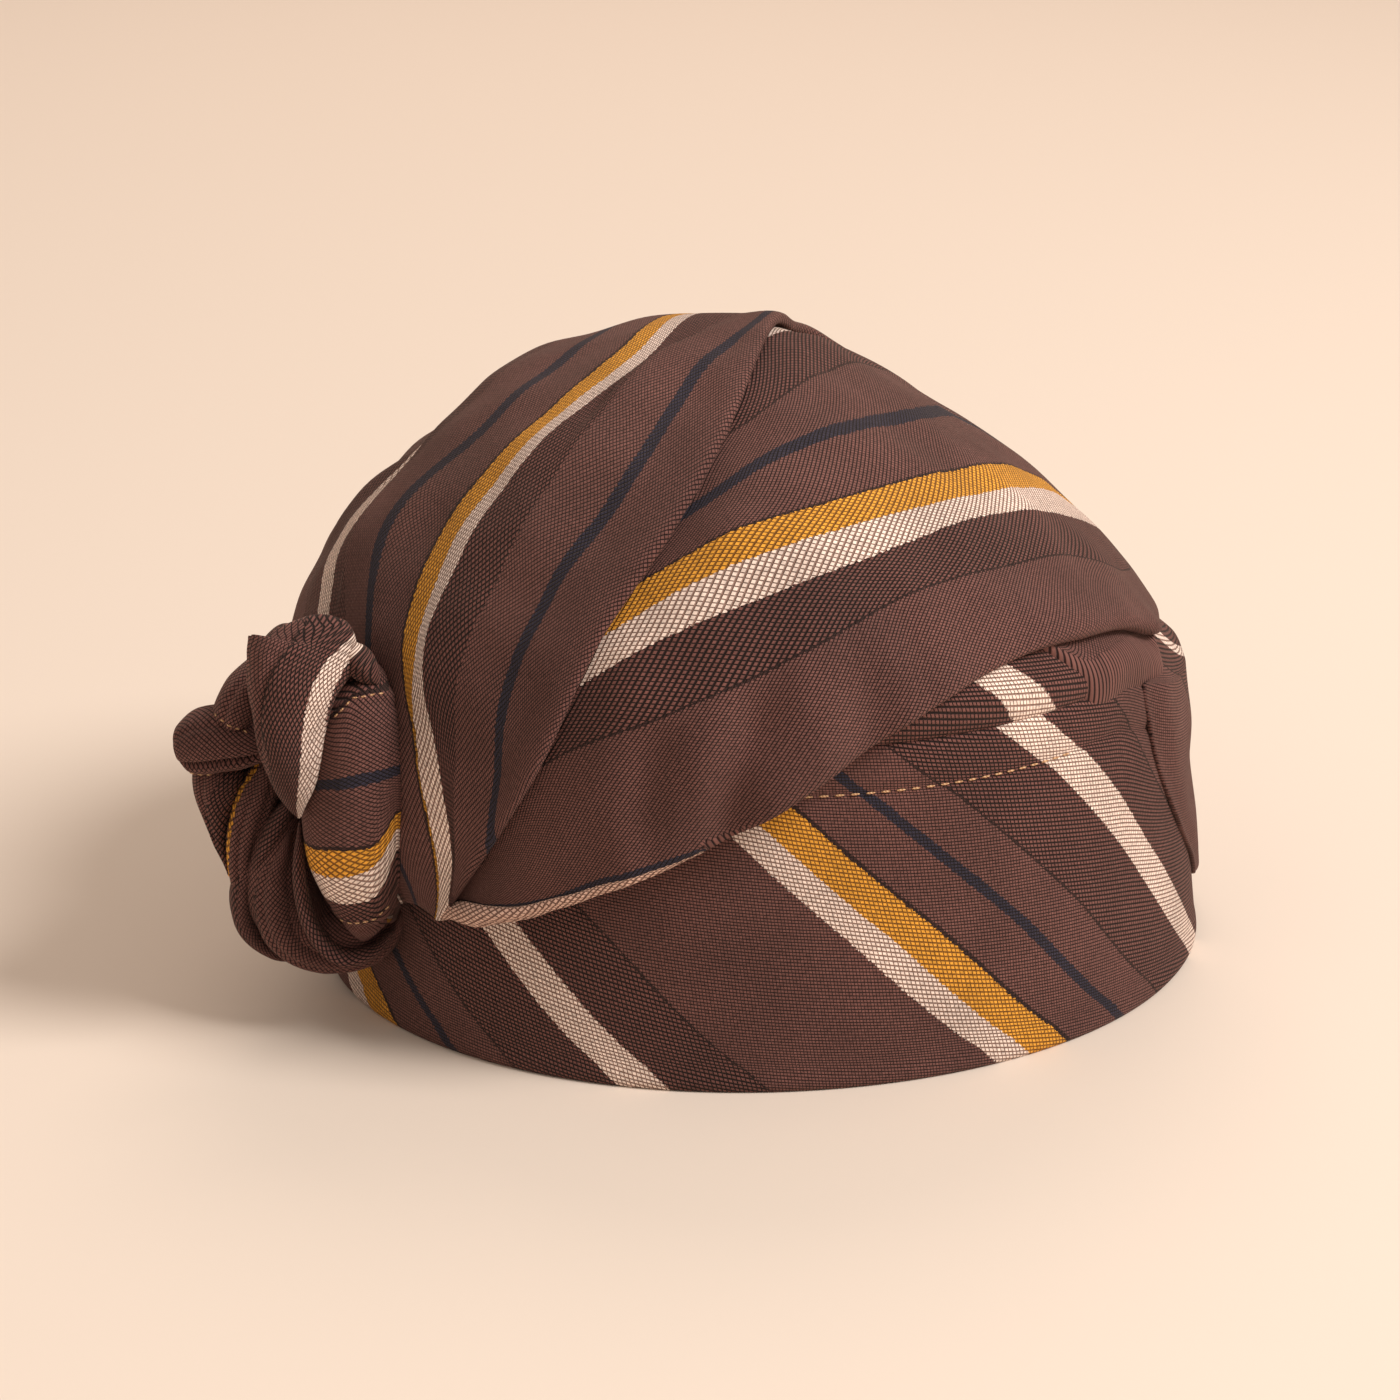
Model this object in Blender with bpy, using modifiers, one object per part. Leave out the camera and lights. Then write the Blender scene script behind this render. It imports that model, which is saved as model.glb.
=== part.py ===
"""A wrapped turban hat of striped cloth, as an assembly of its cloth pieces.

An upright band goes round the head and an inner crown closes the top. Two wraps run as
arches from the knot in front to the nape, and the right one's folded edge crosses over
the left one. A knotted roll of six lobes sits in front, and a tongue of cloth covers the
gathered ends at the nape. Metres, +Z up, front at -Y, the wearer's left at +X. The origin
is the bottom centre of the hat's box.
"""

import math

import bmesh
import bpy
import numpy as np
from mathutils import Vector

# Driving sizes of the band, outside measures at the floor
BAND_LENGTH = 0.196
BAND_WIDTH = 0.176
BAND_HEIGHT = 0.072
BAND_TAPER = 0.041  # share by which the band narrows from the floor to its top
NAPE_TAPER = 0.060  # how much more of it narrows at the nape
NAPE_DIP = 0.009  # how much lower the band's top is at the nape
BAND_WALL = 0.0020
HEM_HEIGHT = 0.012
HEM_WALL = 0.0010

# Driving sizes of the dome and its layers of cloth
CENTRE_HEIGHT = 0.050  # height of the point that the dome is measured from
DOME_RISE = 0.088  # from that point to the top of the hat
WRAP_WALL = 0.0020
CROWN_WALL = 0.0016
TUCK_WALL = 0.0015
LAYER_GAP = 0.0005
EDGE_LIFT = 0.0012  # how far the crossing edge stands up
EDGE_SPAN = 10.0  # degrees of lean over which it does
PLEAT_RISE = 0.0024  # how far the right wrap's pleat stands over the cloth behind it
PLEAT_SLOPE = 20.0  # degrees of lean over which the pleat rises
PLEAT_STEP = 4.0  # degrees of lean over which it falls again
PLEAT_SHARES = (0.25, 0.40, 0.42, 0.62)  # where along the wrap it starts, is full, fades, ends
CROWN_LAP = 0.012  # how far the crown reaches down inside the band
SHOULDER = 0.016  # height over which the crown swells out over the band
SHOULDER_START = 0.004  # how far over the band's top it starts to

# Driving sizes of the knot
KNOT_WIDTH = 0.055
KNOT_HEIGHT = 0.076
KNOT_DEPTH = 0.036
KNOT_AZIMUTH = 8.0  # where its seat is, in degrees from the front to the wearer's left
KNOT_FACING = 72.0  # the azimuth that its rolls face
LOBE_GAP = 0.00035
LOBE_ROUNDNESS = 0.36  # power of the sine that rounds a lobe's ends: a low one keeps them full

# The poles that the wraps' arches start and end at, as azimuth and elevation in degrees
KNOT_POLE = (29.1, -16.0)
NAPE_POLE = (180.0, 21.7)

# The dome's reach from its centre point, as a share of the half band and the dome's rise.
# Rows are azimuths, 0 at the front and 90 at the wearer's left; columns are elevations.
ELEVATIONS = (-35, -15, 0, 20, 40, 60, 75, 90)
DOME = {
    -18: (1.24, 1.09, 1.07, 1.09, 1.02, 1.01, 1.015, 0.985),
    27: (1.22, 1.075, 1.05, 1.06, 1.045, 1.02, 1.005, 0.985),
    72: (1.24, 1.08, 1.06, 1.09, 1.06, 1.01, 0.99, 0.985),
    117: (1.24, 1.05, 1.02, 1.01, 0.95, 0.91, 0.92, 0.985),
    162: (1.18, 0.98, 0.96, 0.90, 0.85, 0.84, 0.89, 0.985),
    207: (1.20, 0.995, 0.97, 0.92, 0.885, 0.88, 0.915, 0.985),
    252: (1.26, 1.08, 1.055, 1.065, 1.02, 0.98, 0.97, 0.985),
    297: (1.28, 1.125, 1.10, 1.12, 1.055, 1.02, 1.005, 0.985),
}

# Where the wraps' edges lean, in degrees, at stations from the knot (0) to the nape (1)
WRAP_START = 0.03
WRAP_END = 0.975
STATIONS = (0.03, 0.10, 0.20, 0.30, 0.40, 0.50, 0.57, 0.63, 0.70, 0.80, 0.975)
LEFT_LOW_LEAN = (22, 15, 15, 16.5, 19.5, 21, 19.5, 7, 1, 0, 0)
CROSSING_LEAN = (50, 48, 50.5, 58.5, 65, 77, 90, 104, 122, 134, 138)
RIGHT_LOW_LEAN = (158, 165, 165, 163.5, 160.5, 159, 160, 172, 179, 180, 180)
PLEAT_LEAN = (108, 112, 117, 118, 112, 116, 121, 127, 134, 142, 146)
TUCK_LEAN = 14.0  # how far the left wrap reaches in under the right one
GATHER = 0.3  # where the wraps are gathered, a degree of lean counts as this much of one

# The nape tongue's outline: height as a share of the band's top, and half width in degrees.
# It then turns in over the band's top and runs up under the wraps.
TONGUE = ((0.06, 7), (0.17, 19), (0.33, 27.5), (0.60, 39), (0.85, 45), (1.0, 46))
TONGUE_TOP = ((17.0, 36), (22.0, 24))

# The knot's lobes. Columns: across (towards the nape), out and up from the knot's seat,
# then half width and half depth, as shares of the knot's width, depth and height; then
# how far the lobe is turned, in degrees, from the way the knot faces.
LOBES = {
    "knot_front_roll": (
        (0.21, 0.36, 0.40, 0.10, 0.15, 0),
        (0.20, 0.44, 0.33, 0.16, 0.19, 0),
        (0.185, 0.50, 0.24, 0.19, 0.21, 0),
        (0.175, 0.53, 0.12, 0.205, 0.22, 0),
        (0.17, 0.54, -0.01, 0.215, 0.24, 0),
        (0.165, 0.54, -0.13, 0.21, 0.24, 0),
        (0.155, 0.50, -0.24, 0.18, 0.22, 0),
        (0.13, 0.42, -0.36, 0.12, 0.17, 0),
    ),
    "knot_twist": (
        (0.02, 0.34, 0.55, 0.17, 0.18, 0),
        (0.03, 0.46, 0.50, 0.24, 0.22, 0),
        (0.02, 0.57, 0.44, 0.235, 0.25, 0),
        (0.00, 0.64, 0.37, 0.195, 0.26, 0),
        (-0.03, 0.67, 0.28, 0.15, 0.26, 0),
        (-0.04, 0.69, 0.17, 0.12, 0.24, 0),
        (-0.01, 0.69, 0.08, 0.07, 0.18, 0),
        (-0.01, 0.66, 0.01, 0.02, 0.08, 0),
    ),
    "knot_hem_fold": (
        (-0.12, 0.14, 0.21, 0.15, 0.17, 0),
        (-0.22, 0.20, 0.205, 0.16, 0.18, 0),
        (-0.31, 0.24, 0.185, 0.16, 0.19, 0),
        (-0.38, 0.26, 0.16, 0.135, 0.17, 0),
        (-0.45, 0.26, 0.13, 0.09, 0.14, 0),
        (-0.50, 0.26, 0.12, 0.04, 0.08, 0),
    ),
    "knot_tail": (
        (-0.29, 0.11, 0.08, 0.16, 0.19, 0),
        (-0.30, 0.15, 0.03, 0.17, 0.20, 0),
        (-0.30, 0.17, -0.05, 0.155, 0.20, 0),
        (-0.30, 0.19, -0.13, 0.13, 0.18, 0),
        (-0.29, 0.21, -0.21, 0.09, 0.15, 0),
        (-0.30, 0.22, -0.29, 0.04, 0.10, 0),
    ),
    "knot_under_wrap": (
        (-0.08, 0.30, -0.02, 0.10, 0.17, 0),
        (-0.13, 0.34, -0.10, 0.16, 0.22, 0),
        (-0.155, 0.35, -0.19, 0.18, 0.24, 0),
        (-0.15, 0.34, -0.28, 0.18, 0.25, 0),
        (-0.11, 0.33, -0.345, 0.175, 0.25, 0),
        (-0.04, 0.33, -0.385, 0.165, 0.25, 0),
        (0.05, 0.33, -0.39, 0.16, 0.25, 0),
        (0.14, 0.33, -0.375, 0.155, 0.24, 0),
        (0.22, 0.32, -0.33, 0.13, 0.22, 0),
        (0.28, 0.29, -0.24, 0.08, 0.15, 0),
    ),
    "knot_far_roll": (
        (-0.08, -0.20, 0.40, 0.12, 0.17, -100),
        (-0.14, -0.28, 0.30, 0.19, 0.21, -100),
        (-0.17, -0.32, 0.14, 0.23, 0.24, -100),
        (-0.18, -0.32, -0.02, 0.23, 0.26, -100),
        (-0.17, -0.30, -0.18, 0.21, 0.26, -100),
        (-0.12, -0.22, -0.32, 0.15, 0.21, -100),
    ),
}

# Faces round and along
BAND_COLUMNS = 64
CROWN_RINGS = 16
CROWN_COLUMNS = 36
WRAP_COLUMNS = 34
LEFT_ROWS = 14
RIGHT_ROWS = 18
TONGUE_COLUMNS = 14
TONGUE_ROWS = 12
LOBE_SIDES = 14
LOBE_RINGS = 14
ROOM_SIDES = 72
ROOM_RINGS = 48

# Colours of the cloth, one for each piece so that the layers can be told apart
CLOTH_ROUGHNESS = 0.85
COLOURS = {
    "band": (0.085, 0.050, 0.040),
    "crown": (0.060, 0.033, 0.026),
    "left_wrap": (0.080, 0.046, 0.038),
    "right_wrap": (0.075, 0.045, 0.040),
    "nape_tuck": (0.078, 0.046, 0.038),
    "knot_front_roll": (0.085, 0.052, 0.044),
    "knot_twist": (0.066, 0.036, 0.030),
    "knot_hem_fold": (0.070, 0.042, 0.035),
    "knot_tail": (0.062, 0.036, 0.030),
    "knot_under_wrap": (0.074, 0.044, 0.037),
    "knot_far_roll": (0.080, 0.048, 0.040),
}

HALF_BOX = np.array([BAND_WIDTH / 2, BAND_LENGTH / 2, DOME_RISE])
CENTRE = np.array([0.0, 0.0, CENTRE_HEIGHT])


# Interpolation

def smooth(x):
    """0 below 0, 1 above 1 and a smooth step between."""
    x = np.clip(x, 0.0, 1.0)
    return x * x * (3.0 - 2.0 * x)


def through(stations, values, x):
    """The smooth curve through values at rising stations, at x."""
    stations = np.asarray(stations, float)
    values = np.asarray(values, float)
    last = len(stations) - 1
    i = int(np.clip(np.searchsorted(stations, x, side="right") - 1, 0, last - 1))
    slopes = np.gradient(values, stations, axis=0)
    h = stations[i + 1] - stations[i]
    t = float(np.clip((x - stations[i]) / h, 0.0, 1.0))
    return ((2 * t**3 - 3 * t**2 + 1) * values[i] + (t**3 - 2 * t**2 + t) * h * slopes[i]
            + (3 * t**2 - 2 * t**3) * values[i + 1] + (t**3 - t**2) * h * slopes[i + 1])


# The dome's form

def direction(azimuth, elevation):
    """The unit vector at an azimuth and elevation in degrees."""
    a, e = math.radians(azimuth), math.radians(elevation)
    return np.array([math.sin(a) * math.cos(e), -math.cos(a) * math.cos(e), math.sin(e)])


def reach_at(column, azimuth):
    """The dome table's column at any azimuth, smoothly round the hat."""
    rows = sorted(DOME)
    step = 360.0 / len(rows)
    along = ((azimuth - rows[0]) / step) % len(rows)
    i = int(along)
    t = along - i
    a, b, c, d = (DOME[rows[(i + k) % len(rows)]][column] for k in (-1, 0, 1, 2))
    return 0.5 * (2 * b + (c - a) * t + (2 * a - 5 * b + 4 * c - d) * t**2
                  + (3 * b - a - 3 * c + d) * t**3)


def dome_share(way):
    """The dome's reach in a direction, as a share; a meridian runs on over the top."""
    azimuth = math.degrees(math.atan2(way[0], -way[1]))
    elevation = math.degrees(math.asin(max(-1.0, min(1.0, way[2]))))
    over = [180 - e for e in ELEVATIONS[-2:-4:-1]]
    stations = list(ELEVATIONS) + over
    count = len(ELEVATIONS)
    near = max(0, int(np.searchsorted(stations, elevation, side="right")) - 2)
    picked = range(near, min(near + 4, len(stations)))
    values = [reach_at(k, azimuth) if k < count else reach_at(2 * (count - 1) - k, azimuth + 180)
              for k in picked]
    return float(through([stations[k] for k in picked], values, elevation))


def on_dome(way, lift=0.0):
    """The point of the dome's outer face in a direction, lifted outwards."""
    way = way / np.linalg.norm(way)
    reach = way * dome_share(way) * HALF_BOX
    return CENTRE + reach * (1.0 + lift / np.linalg.norm(reach))


def nape_share(azimuth):
    """1 at the nape, falling to 0 at the sides."""
    return smooth(-math.cos(math.radians(azimuth)))


def band_share(azimuth, height):
    """The band's width at an azimuth and height, as a share of its width at the floor."""
    taper = BAND_TAPER + NAPE_TAPER * nape_share(azimuth)
    return 1.0 - taper * height / BAND_HEIGHT


def band_top(azimuth):
    """The height of the band's top edge, which dips at the nape."""
    return BAND_HEIGHT - NAPE_DIP * smooth(2.5 * nape_share(azimuth) - 1.5)


def on_band(azimuth, height, lift=0.0):
    """The point of the band's outer face at an azimuth and height, lifted outwards."""
    a = math.radians(azimuth)
    flat = np.array([math.sin(a), -math.cos(a)])
    normal = flat / HALF_BOX[:2]
    normal /= np.linalg.norm(normal)
    x, y = flat * HALF_BOX[:2] * band_share(azimuth, height) + normal * lift
    return np.array([x, y, height])


# Arches from the knot to the nape

class Arches:
    """Circles through the knot pole and the nape pole, one for each lean."""

    def __init__(self, start, end):
        self.middle = (start + end) / 2
        chord = end - start
        self.half = np.linalg.norm(chord) / 2
        self.along = chord / (2 * self.half)
        left = np.array([1.0, 0.0, 0.0])
        left -= (left @ self.along) * self.along
        self.left = left / np.linalg.norm(left)
        self.up = np.cross(self.left, self.along)
        if self.up[2] < 0:
            self.up = -self.up

    def way(self, share, lean):
        """The direction a share of the way along the arch of a lean in degrees."""
        lean = math.radians(lean)
        out = math.cos(lean) * self.left + math.sin(lean) * self.up
        offset = out @ self.middle
        hub = self.middle - offset * out
        radius = math.sqrt(1.0 - hub @ hub)
        first = math.atan2(offset, self.half)
        angle = first + share * (math.pi - 2 * first)
        return hub + radius * (math.sin(angle) * out - math.cos(angle) * self.along)


ARCHES = Arches(direction(*KNOT_POLE), direction(*NAPE_POLE))


def edge_lift(share):
    """How far the crossing edge stands up: not at all where the wraps are gathered."""
    return EDGE_LIFT * smooth((share - WRAP_START) / 0.2) * smooth((WRAP_END - share) / 0.15)


def left_wrap_point(u, v):
    """The left wrap's outer face: its top edge dives in under the right wrap."""
    share = WRAP_START + (WRAP_END - WRAP_START) * u
    low = through(STATIONS, LEFT_LOW_LEAN, share)
    crossing = through(STATIONS, CROSSING_LEAN, share)
    narrow = max(GATHER, math.sin(math.pi * share))
    lean = low + (crossing + TUCK_LEAN * narrow - low) * v
    past = (lean - crossing) * narrow / EDGE_SPAN
    raised = edge_lift(share)
    dive = (WRAP_WALL + 2 * LAYER_GAP - raised) * smooth((past + 1.0) / 0.9)
    return on_dome(ARCHES.way(share, lean), -dive - raised * smooth((past + 0.1) / 0.8))


def right_wrap_point(u, v):
    """The right wrap's outer face: a raised crossing edge, then a pleat behind it."""
    share = WRAP_START + (WRAP_END - WRAP_START) * u
    crossing = through(STATIONS, CROSSING_LEAN, share)
    low = through(STATIONS, RIGHT_LOW_LEAN, share)
    pleat = through(STATIONS, PLEAT_LEAN, share)
    lean = crossing + (low - crossing) * v
    edge = edge_lift(share) * (1.0 - smooth((lean - crossing) / EDGE_SPAN))
    start, full, fades, end = PLEAT_SHARES
    rise = PLEAT_RISE * smooth((share - start) / (full - start)) * smooth((end - share) / (end - fades))
    rise *= smooth((lean - pleat + PLEAT_STEP) / PLEAT_SLOPE + 1.0)
    rise *= 1.0 - smooth((lean - pleat) / PLEAT_STEP)
    return on_dome(ARCHES.way(share, lean), max(edge, rise))


# Mesh tools

def new_object(name, bm):
    """A named object with its own cloth material, in the hat's collection."""
    mesh = bpy.data.meshes.new(name)
    bm.to_mesh(mesh)
    bm.free()
    mesh.shade_smooth()
    mesh.set_sharp_from_angle(angle=math.radians(50))
    piece = bpy.data.objects.new(name, mesh)
    hat.objects.link(piece)
    piece.parent = frame
    if name in COLOURS:
        material = bpy.data.materials.new(name + "_cloth")
        material.use_nodes = True
        shader = material.node_tree.nodes["Principled BSDF"]
        shader.inputs["Base Color"].default_value = (*COLOURS[name], 1.0)
        shader.inputs["Roughness"].default_value = CLOTH_ROUGHNESS
        mesh.materials.append(material)
    return piece


def shaped_grid(columns, rows, place):
    """A grid whose vertex at (u, v), each from 0 to 1, goes to place(u, v)."""
    bm = bmesh.new()
    bmesh.ops.create_grid(bm, x_segments=columns, y_segments=rows, size=0.5)
    for vertex in bm.verts:
        vertex.co = Vector(place(vertex.co.x + 0.5, vertex.co.y + 0.5))
    return bm


def face_outwards(bm, closed=False):
    """Turn the faces away from the dome's centre, or out of a closed mesh."""
    bm.normal_update()
    centre = Vector(CENTRE)
    if closed:
        facing = bm.calc_volume(signed=True)
    else:
        facing = sum(f.normal.dot(f.calc_center_median() - centre) for f in bm.faces)
    if facing < 0:
        bmesh.ops.reverse_faces(bm, faces=bm.faces)


def cloth(name, bm, wall, outwards=False):
    """A cloth piece: its face, thickened inwards or outwards."""
    face_outwards(bm)
    piece = new_object(name, bm)
    solidify = piece.modifiers.new("wall", "SOLIDIFY")
    solidify.thickness = wall
    solidify.offset = 1.0 if outwards else -1.0
    return piece


# The pieces

def make_band():
    """A closed ring of cloth with its top hem turned outwards."""
    hem_foot = 1.0 - HEM_HEIGHT / BAND_HEIGHT
    profile = (
        (0.0, -BAND_WALL), (0.0, 0.0), (hem_foot / 2, 0.0), (hem_foot, 0.0),
        (hem_foot, HEM_WALL), (1.0, HEM_WALL), (1.0, -BAND_WALL), (hem_foot / 2, -BAND_WALL),
    )

    def place(u, v):
        height, lift = profile[round(v * len(profile)) % len(profile)]
        azimuth = 360.0 * u
        return on_band(azimuth, height * band_top(azimuth), lift)

    bm = shaped_grid(BAND_COLUMNS, len(profile), place)
    bmesh.ops.remove_doubles(bm, verts=bm.verts, dist=1e-6)
    face_outwards(bm, closed=True)
    return new_object("band", bm)


def crown_point(azimuth, elevation):
    """The crown's outer face: inside the band's top, then out under both wraps."""
    under_wraps = 2 * WRAP_WALL + 4 * LAYER_GAP
    point = on_dome(direction(azimuth, elevation), -under_wraps)
    top = band_top(azimuth)
    height = min(float(point[2]), top)
    over = float(point[2]) - top
    inside = on_band(azimuth, height, -BAND_WALL - LAYER_GAP)
    if np.linalg.norm(point[:2]) > np.linalg.norm(inside[:2]):
        free = smooth((over - SHOULDER_START) / SHOULDER)
    else:
        free = smooth(over / CROWN_LAP + 1.0)
    point[:2] = inside[:2] + (point[:2] - inside[:2]) * free
    return point


def make_crown():
    """The inner cap, half a sphere that takes the crown's form."""
    rim = (BAND_HEIGHT - NAPE_DIP - CROWN_LAP - CENTRE_HEIGHT) / DOME_RISE
    foot = math.degrees(math.asin(rim))
    bm = bmesh.new()
    bmesh.ops.create_uvsphere(bm, u_segments=CROWN_COLUMNS, v_segments=CROWN_RINGS * 2, radius=1.0)
    bmesh.ops.delete(bm, geom=[v for v in bm.verts if v.co.z < -1e-6], context="VERTS")
    for vertex in bm.verts:
        azimuth = math.degrees(math.atan2(vertex.co.x, -vertex.co.y))
        rise = math.degrees(math.asin(max(0.0, min(1.0, vertex.co.z)))) / 90.0
        vertex.co = Vector(crown_point(azimuth, foot + (90.0 - foot) * rise))
    return cloth("crown", bm, CROWN_WALL)


def make_left_wrap():
    """The panel over the wearer's left side."""
    return cloth("left_wrap", shaped_grid(WRAP_COLUMNS, LEFT_ROWS, left_wrap_point), WRAP_WALL)


def make_right_wrap():
    """The panel over the top and the wearer's right side."""
    return cloth("right_wrap", shaped_grid(WRAP_COLUMNS, RIGHT_ROWS, right_wrap_point), WRAP_WALL)


def tongue_point(u, v):
    """The nape tongue's inner face: up the band, in over its top and under the wraps."""
    row = round(v * TONGUE_ROWS)
    upright = TONGUE_ROWS - len(TONGUE_TOP)
    if row > upright:
        elevation, half = TONGUE_TOP[row - upright - 1]
        azimuth = NAPE_POLE[0] + (2.0 * u - 1.0) * half
        return on_dome(direction(azimuth, elevation), -WRAP_WALL - TUCK_WALL - 2 * LAYER_GAP)
    shares = [row[0] for row in TONGUE]
    halves = [row[1] for row in TONGUE]
    share = shares[0] + (shares[-1] - shares[0]) * row / upright
    azimuth = NAPE_POLE[0] + (2.0 * u - 1.0) * through(shares, halves, share)
    height = share * (band_top(azimuth) + LAYER_GAP)
    over_hem = HEM_WALL * smooth((height - band_top(azimuth)) / HEM_HEIGHT + 2.0)
    return on_band(azimuth, height, over_hem + 2 * LAYER_GAP)


def make_nape_tuck():
    """The tongue of cloth that covers the band's seam and closes the hat at the nape."""
    return cloth("nape_tuck", shaped_grid(TONGUE_COLUMNS, TONGUE_ROWS, tongue_point), TUCK_WALL, True)


def lobe_mesh(rows, grow=0.0):
    """A padded lobe: a sphere drawn out along its path, with an oval section."""
    seat = on_dome(direction(KNOT_AZIMUTH, 0.0))
    out = direction(KNOT_FACING, 0.0)
    across = direction(KNOT_FACING + 90.0, 0.0)
    sizes = np.array([KNOT_WIDTH, KNOT_DEPTH, KNOT_HEIGHT, KNOT_WIDTH, KNOT_DEPTH, 1.0])
    table = np.array(rows, float) * sizes
    stations = np.linspace(0.0, 1.0, len(table))
    bm = bmesh.new()
    bmesh.ops.create_uvsphere(bm, u_segments=LOBE_SIDES, v_segments=LOBE_RINGS, radius=1.0)
    for vertex in bm.verts:
        turn = math.atan2(vertex.co.y, vertex.co.x)
        polar = math.acos(max(-1.0, min(1.0, vertex.co.z)))
        share = polar / math.pi
        row = through(stations, table, share)
        step = through(stations, table, min(1.0, share + 0.02))
        step = step - through(stations, table, max(0.0, share - 0.02))
        path = step[0] * across + step[1] * out + step[2] * np.array([0.0, 0.0, 1.0])
        path /= np.linalg.norm(path)
        face = math.radians(row[5])
        face = math.cos(face) * out + math.sin(face) * across
        side = np.cross(path, face)
        side /= np.linalg.norm(side)
        deep = np.cross(side, path)
        round_end = max(0.0, math.sin(polar)) ** LOBE_ROUNDNESS
        offset = side * (row[3] + grow) * math.cos(turn) + deep * (row[4] + grow) * math.sin(turn)
        end = path * grow * (1.0 if share > 0.5 else -1.0) * (1.0 - round_end)
        centre = seat + across * row[0] + out * row[1] + np.array([0.0, 0.0, row[2]])
        vertex.co = Vector(centre + offset * round_end + end)
    face_outwards(bm, closed=True)
    return bm


def cutter(name, bm):
    """A closed shape that only cuts."""
    piece = new_object(name, bm)
    hat.objects.unlink(piece)
    cutters.objects.link(piece)
    piece.hide_render = True
    piece.display_type = "WIRE"
    return piece


def cut(piece, tool):
    """Take the tool's shape out of a piece."""
    boolean = piece.modifiers.new("clear_of_" + tool.name, "BOOLEAN")
    boolean.operation = "DIFFERENCE"
    boolean.solver = "EXACT"
    boolean.object = tool


def hat_room():
    """The whole hat behind the knot, a little larger, so that the knot seats on it."""
    bm = bmesh.new()
    bmesh.ops.create_uvsphere(bm, u_segments=ROOM_SIDES, v_segments=ROOM_RINGS, radius=1.0)
    lowest = math.radians(ELEVATIONS[0])
    for vertex in bm.verts:
        way = np.array(vertex.co / vertex.co.length)
        azimuth = math.degrees(math.atan2(way[0], -way[1]))
        elevation = max(math.asin(max(-1.0, min(1.0, way[2]))), lowest)
        point = on_dome(direction(azimuth, math.degrees(elevation)), 2 * LOBE_GAP)
        point[:2] *= min(1.0, math.hypot(way[0], way[1]) / math.cos(elevation + 1e-6))
        vertex.co = Vector(point)
    face_outwards(bm, closed=True)
    return cutter("hat_room", bm)


def make_knot():
    """The six lobes, each cut clear of the hat and of the lobes made before it."""
    room = hat_room()
    before = []
    for name, rows in LOBES.items():
        lobe = new_object(name, lobe_mesh(rows))
        cut(lobe, room)
        for tool in before:
            cut(lobe, tool)
        before.append(cutter(name + "_room", lobe_mesh(rows, LOBE_GAP)))


def stand_on_origin():
    """Move the frame so that the bottom centre of the hat's box is the origin."""
    bpy.context.view_layer.update()
    graph = bpy.context.evaluated_depsgraph_get()
    corners = []
    for piece in hat.objects:
        if piece.type == "MESH":
            shape = piece.evaluated_get(graph)
            corners += [piece.matrix_world @ v.co for v in shape.data.vertices]
    low = [min(c[k] for c in corners) for k in range(3)]
    high = [max(c[k] for c in corners) for k in range(3)]
    frame.location = (-(low[0] + high[0]) / 2, -(low[1] + high[1]) / 2, -low[2])


for old in list(bpy.data.objects):
    bpy.data.objects.remove(old, do_unlink=True)
hat = bpy.data.collections.new("wrapped_turban_hat")
cutters = bpy.data.collections.new("cutters")
bpy.context.scene.collection.children.link(hat)
bpy.context.scene.collection.children.link(cutters)
frame = bpy.data.objects.new("hat_frame", None)
hat.objects.link(frame)

make_band()
make_crown()
make_left_wrap()
make_right_wrap()
make_nape_tuck()
make_knot()
stand_on_origin()
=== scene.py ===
"""Striped wrapped turban hat: the looks of every cloth piece, the studio and the camera.

Lengths are millimetres until a mesh is made, and places are hat places: the foot's middle is the
origin, the knot is at -Y and the wearer's left at +X.
"""
from __future__ import annotations

import logging
import math
from dataclasses import dataclass
from enum import Enum
from typing import Callable

import bmesh
import bpy
import numpy as np
from mathutils import Matrix, Vector, noise
from mathutils.bvhtree import BVHTree

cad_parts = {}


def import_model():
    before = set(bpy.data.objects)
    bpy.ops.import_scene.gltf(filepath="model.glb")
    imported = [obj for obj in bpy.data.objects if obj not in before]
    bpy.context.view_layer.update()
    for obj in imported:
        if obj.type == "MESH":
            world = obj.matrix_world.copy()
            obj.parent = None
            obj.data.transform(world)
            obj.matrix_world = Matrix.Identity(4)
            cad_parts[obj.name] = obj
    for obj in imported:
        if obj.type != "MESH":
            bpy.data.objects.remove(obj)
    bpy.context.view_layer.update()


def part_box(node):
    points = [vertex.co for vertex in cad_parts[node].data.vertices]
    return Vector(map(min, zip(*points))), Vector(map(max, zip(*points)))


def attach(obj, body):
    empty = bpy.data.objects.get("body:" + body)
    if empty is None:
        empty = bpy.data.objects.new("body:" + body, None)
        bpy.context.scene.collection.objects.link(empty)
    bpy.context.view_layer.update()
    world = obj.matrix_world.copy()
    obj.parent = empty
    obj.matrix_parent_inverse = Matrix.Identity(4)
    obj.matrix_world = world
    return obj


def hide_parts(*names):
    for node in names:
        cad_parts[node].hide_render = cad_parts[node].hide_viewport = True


log = logging.getLogger("turban_hat")
MM = 0.001
UPRIGHT = np.array([1.0, 1.0, 0.35])  # Draws dents out along the height, as cloth hangs
Array = np.ndarray


# Numbers and curves

def smooth(x: Array) -> Array:
    """0 below 0, 1 above 1 and a smooth step between."""
    x = np.clip(x, 0.0, 1.0)
    return x * x * (3.0 - 2.0 * x)


def hump(x: Array, middle: float, half: float) -> Array:
    """1 at the middle, falling smoothly to 0 at half either side."""
    return smooth(1.0 - np.abs((x - middle) / half))


def pleat(x: Array, line: Array, wide: float, drop: float) -> Array:
    """A pleat's height: it rises over a width up to its line and drops just past it."""
    return smooth((x - line) / wide + 1.0) * (1.0 - smooth((x - line) / drop))


def normed(ways: Array) -> Array:
    """These directions, each one long."""
    return ways / np.linalg.norm(ways, axis=-1, keepdims=True)


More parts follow.
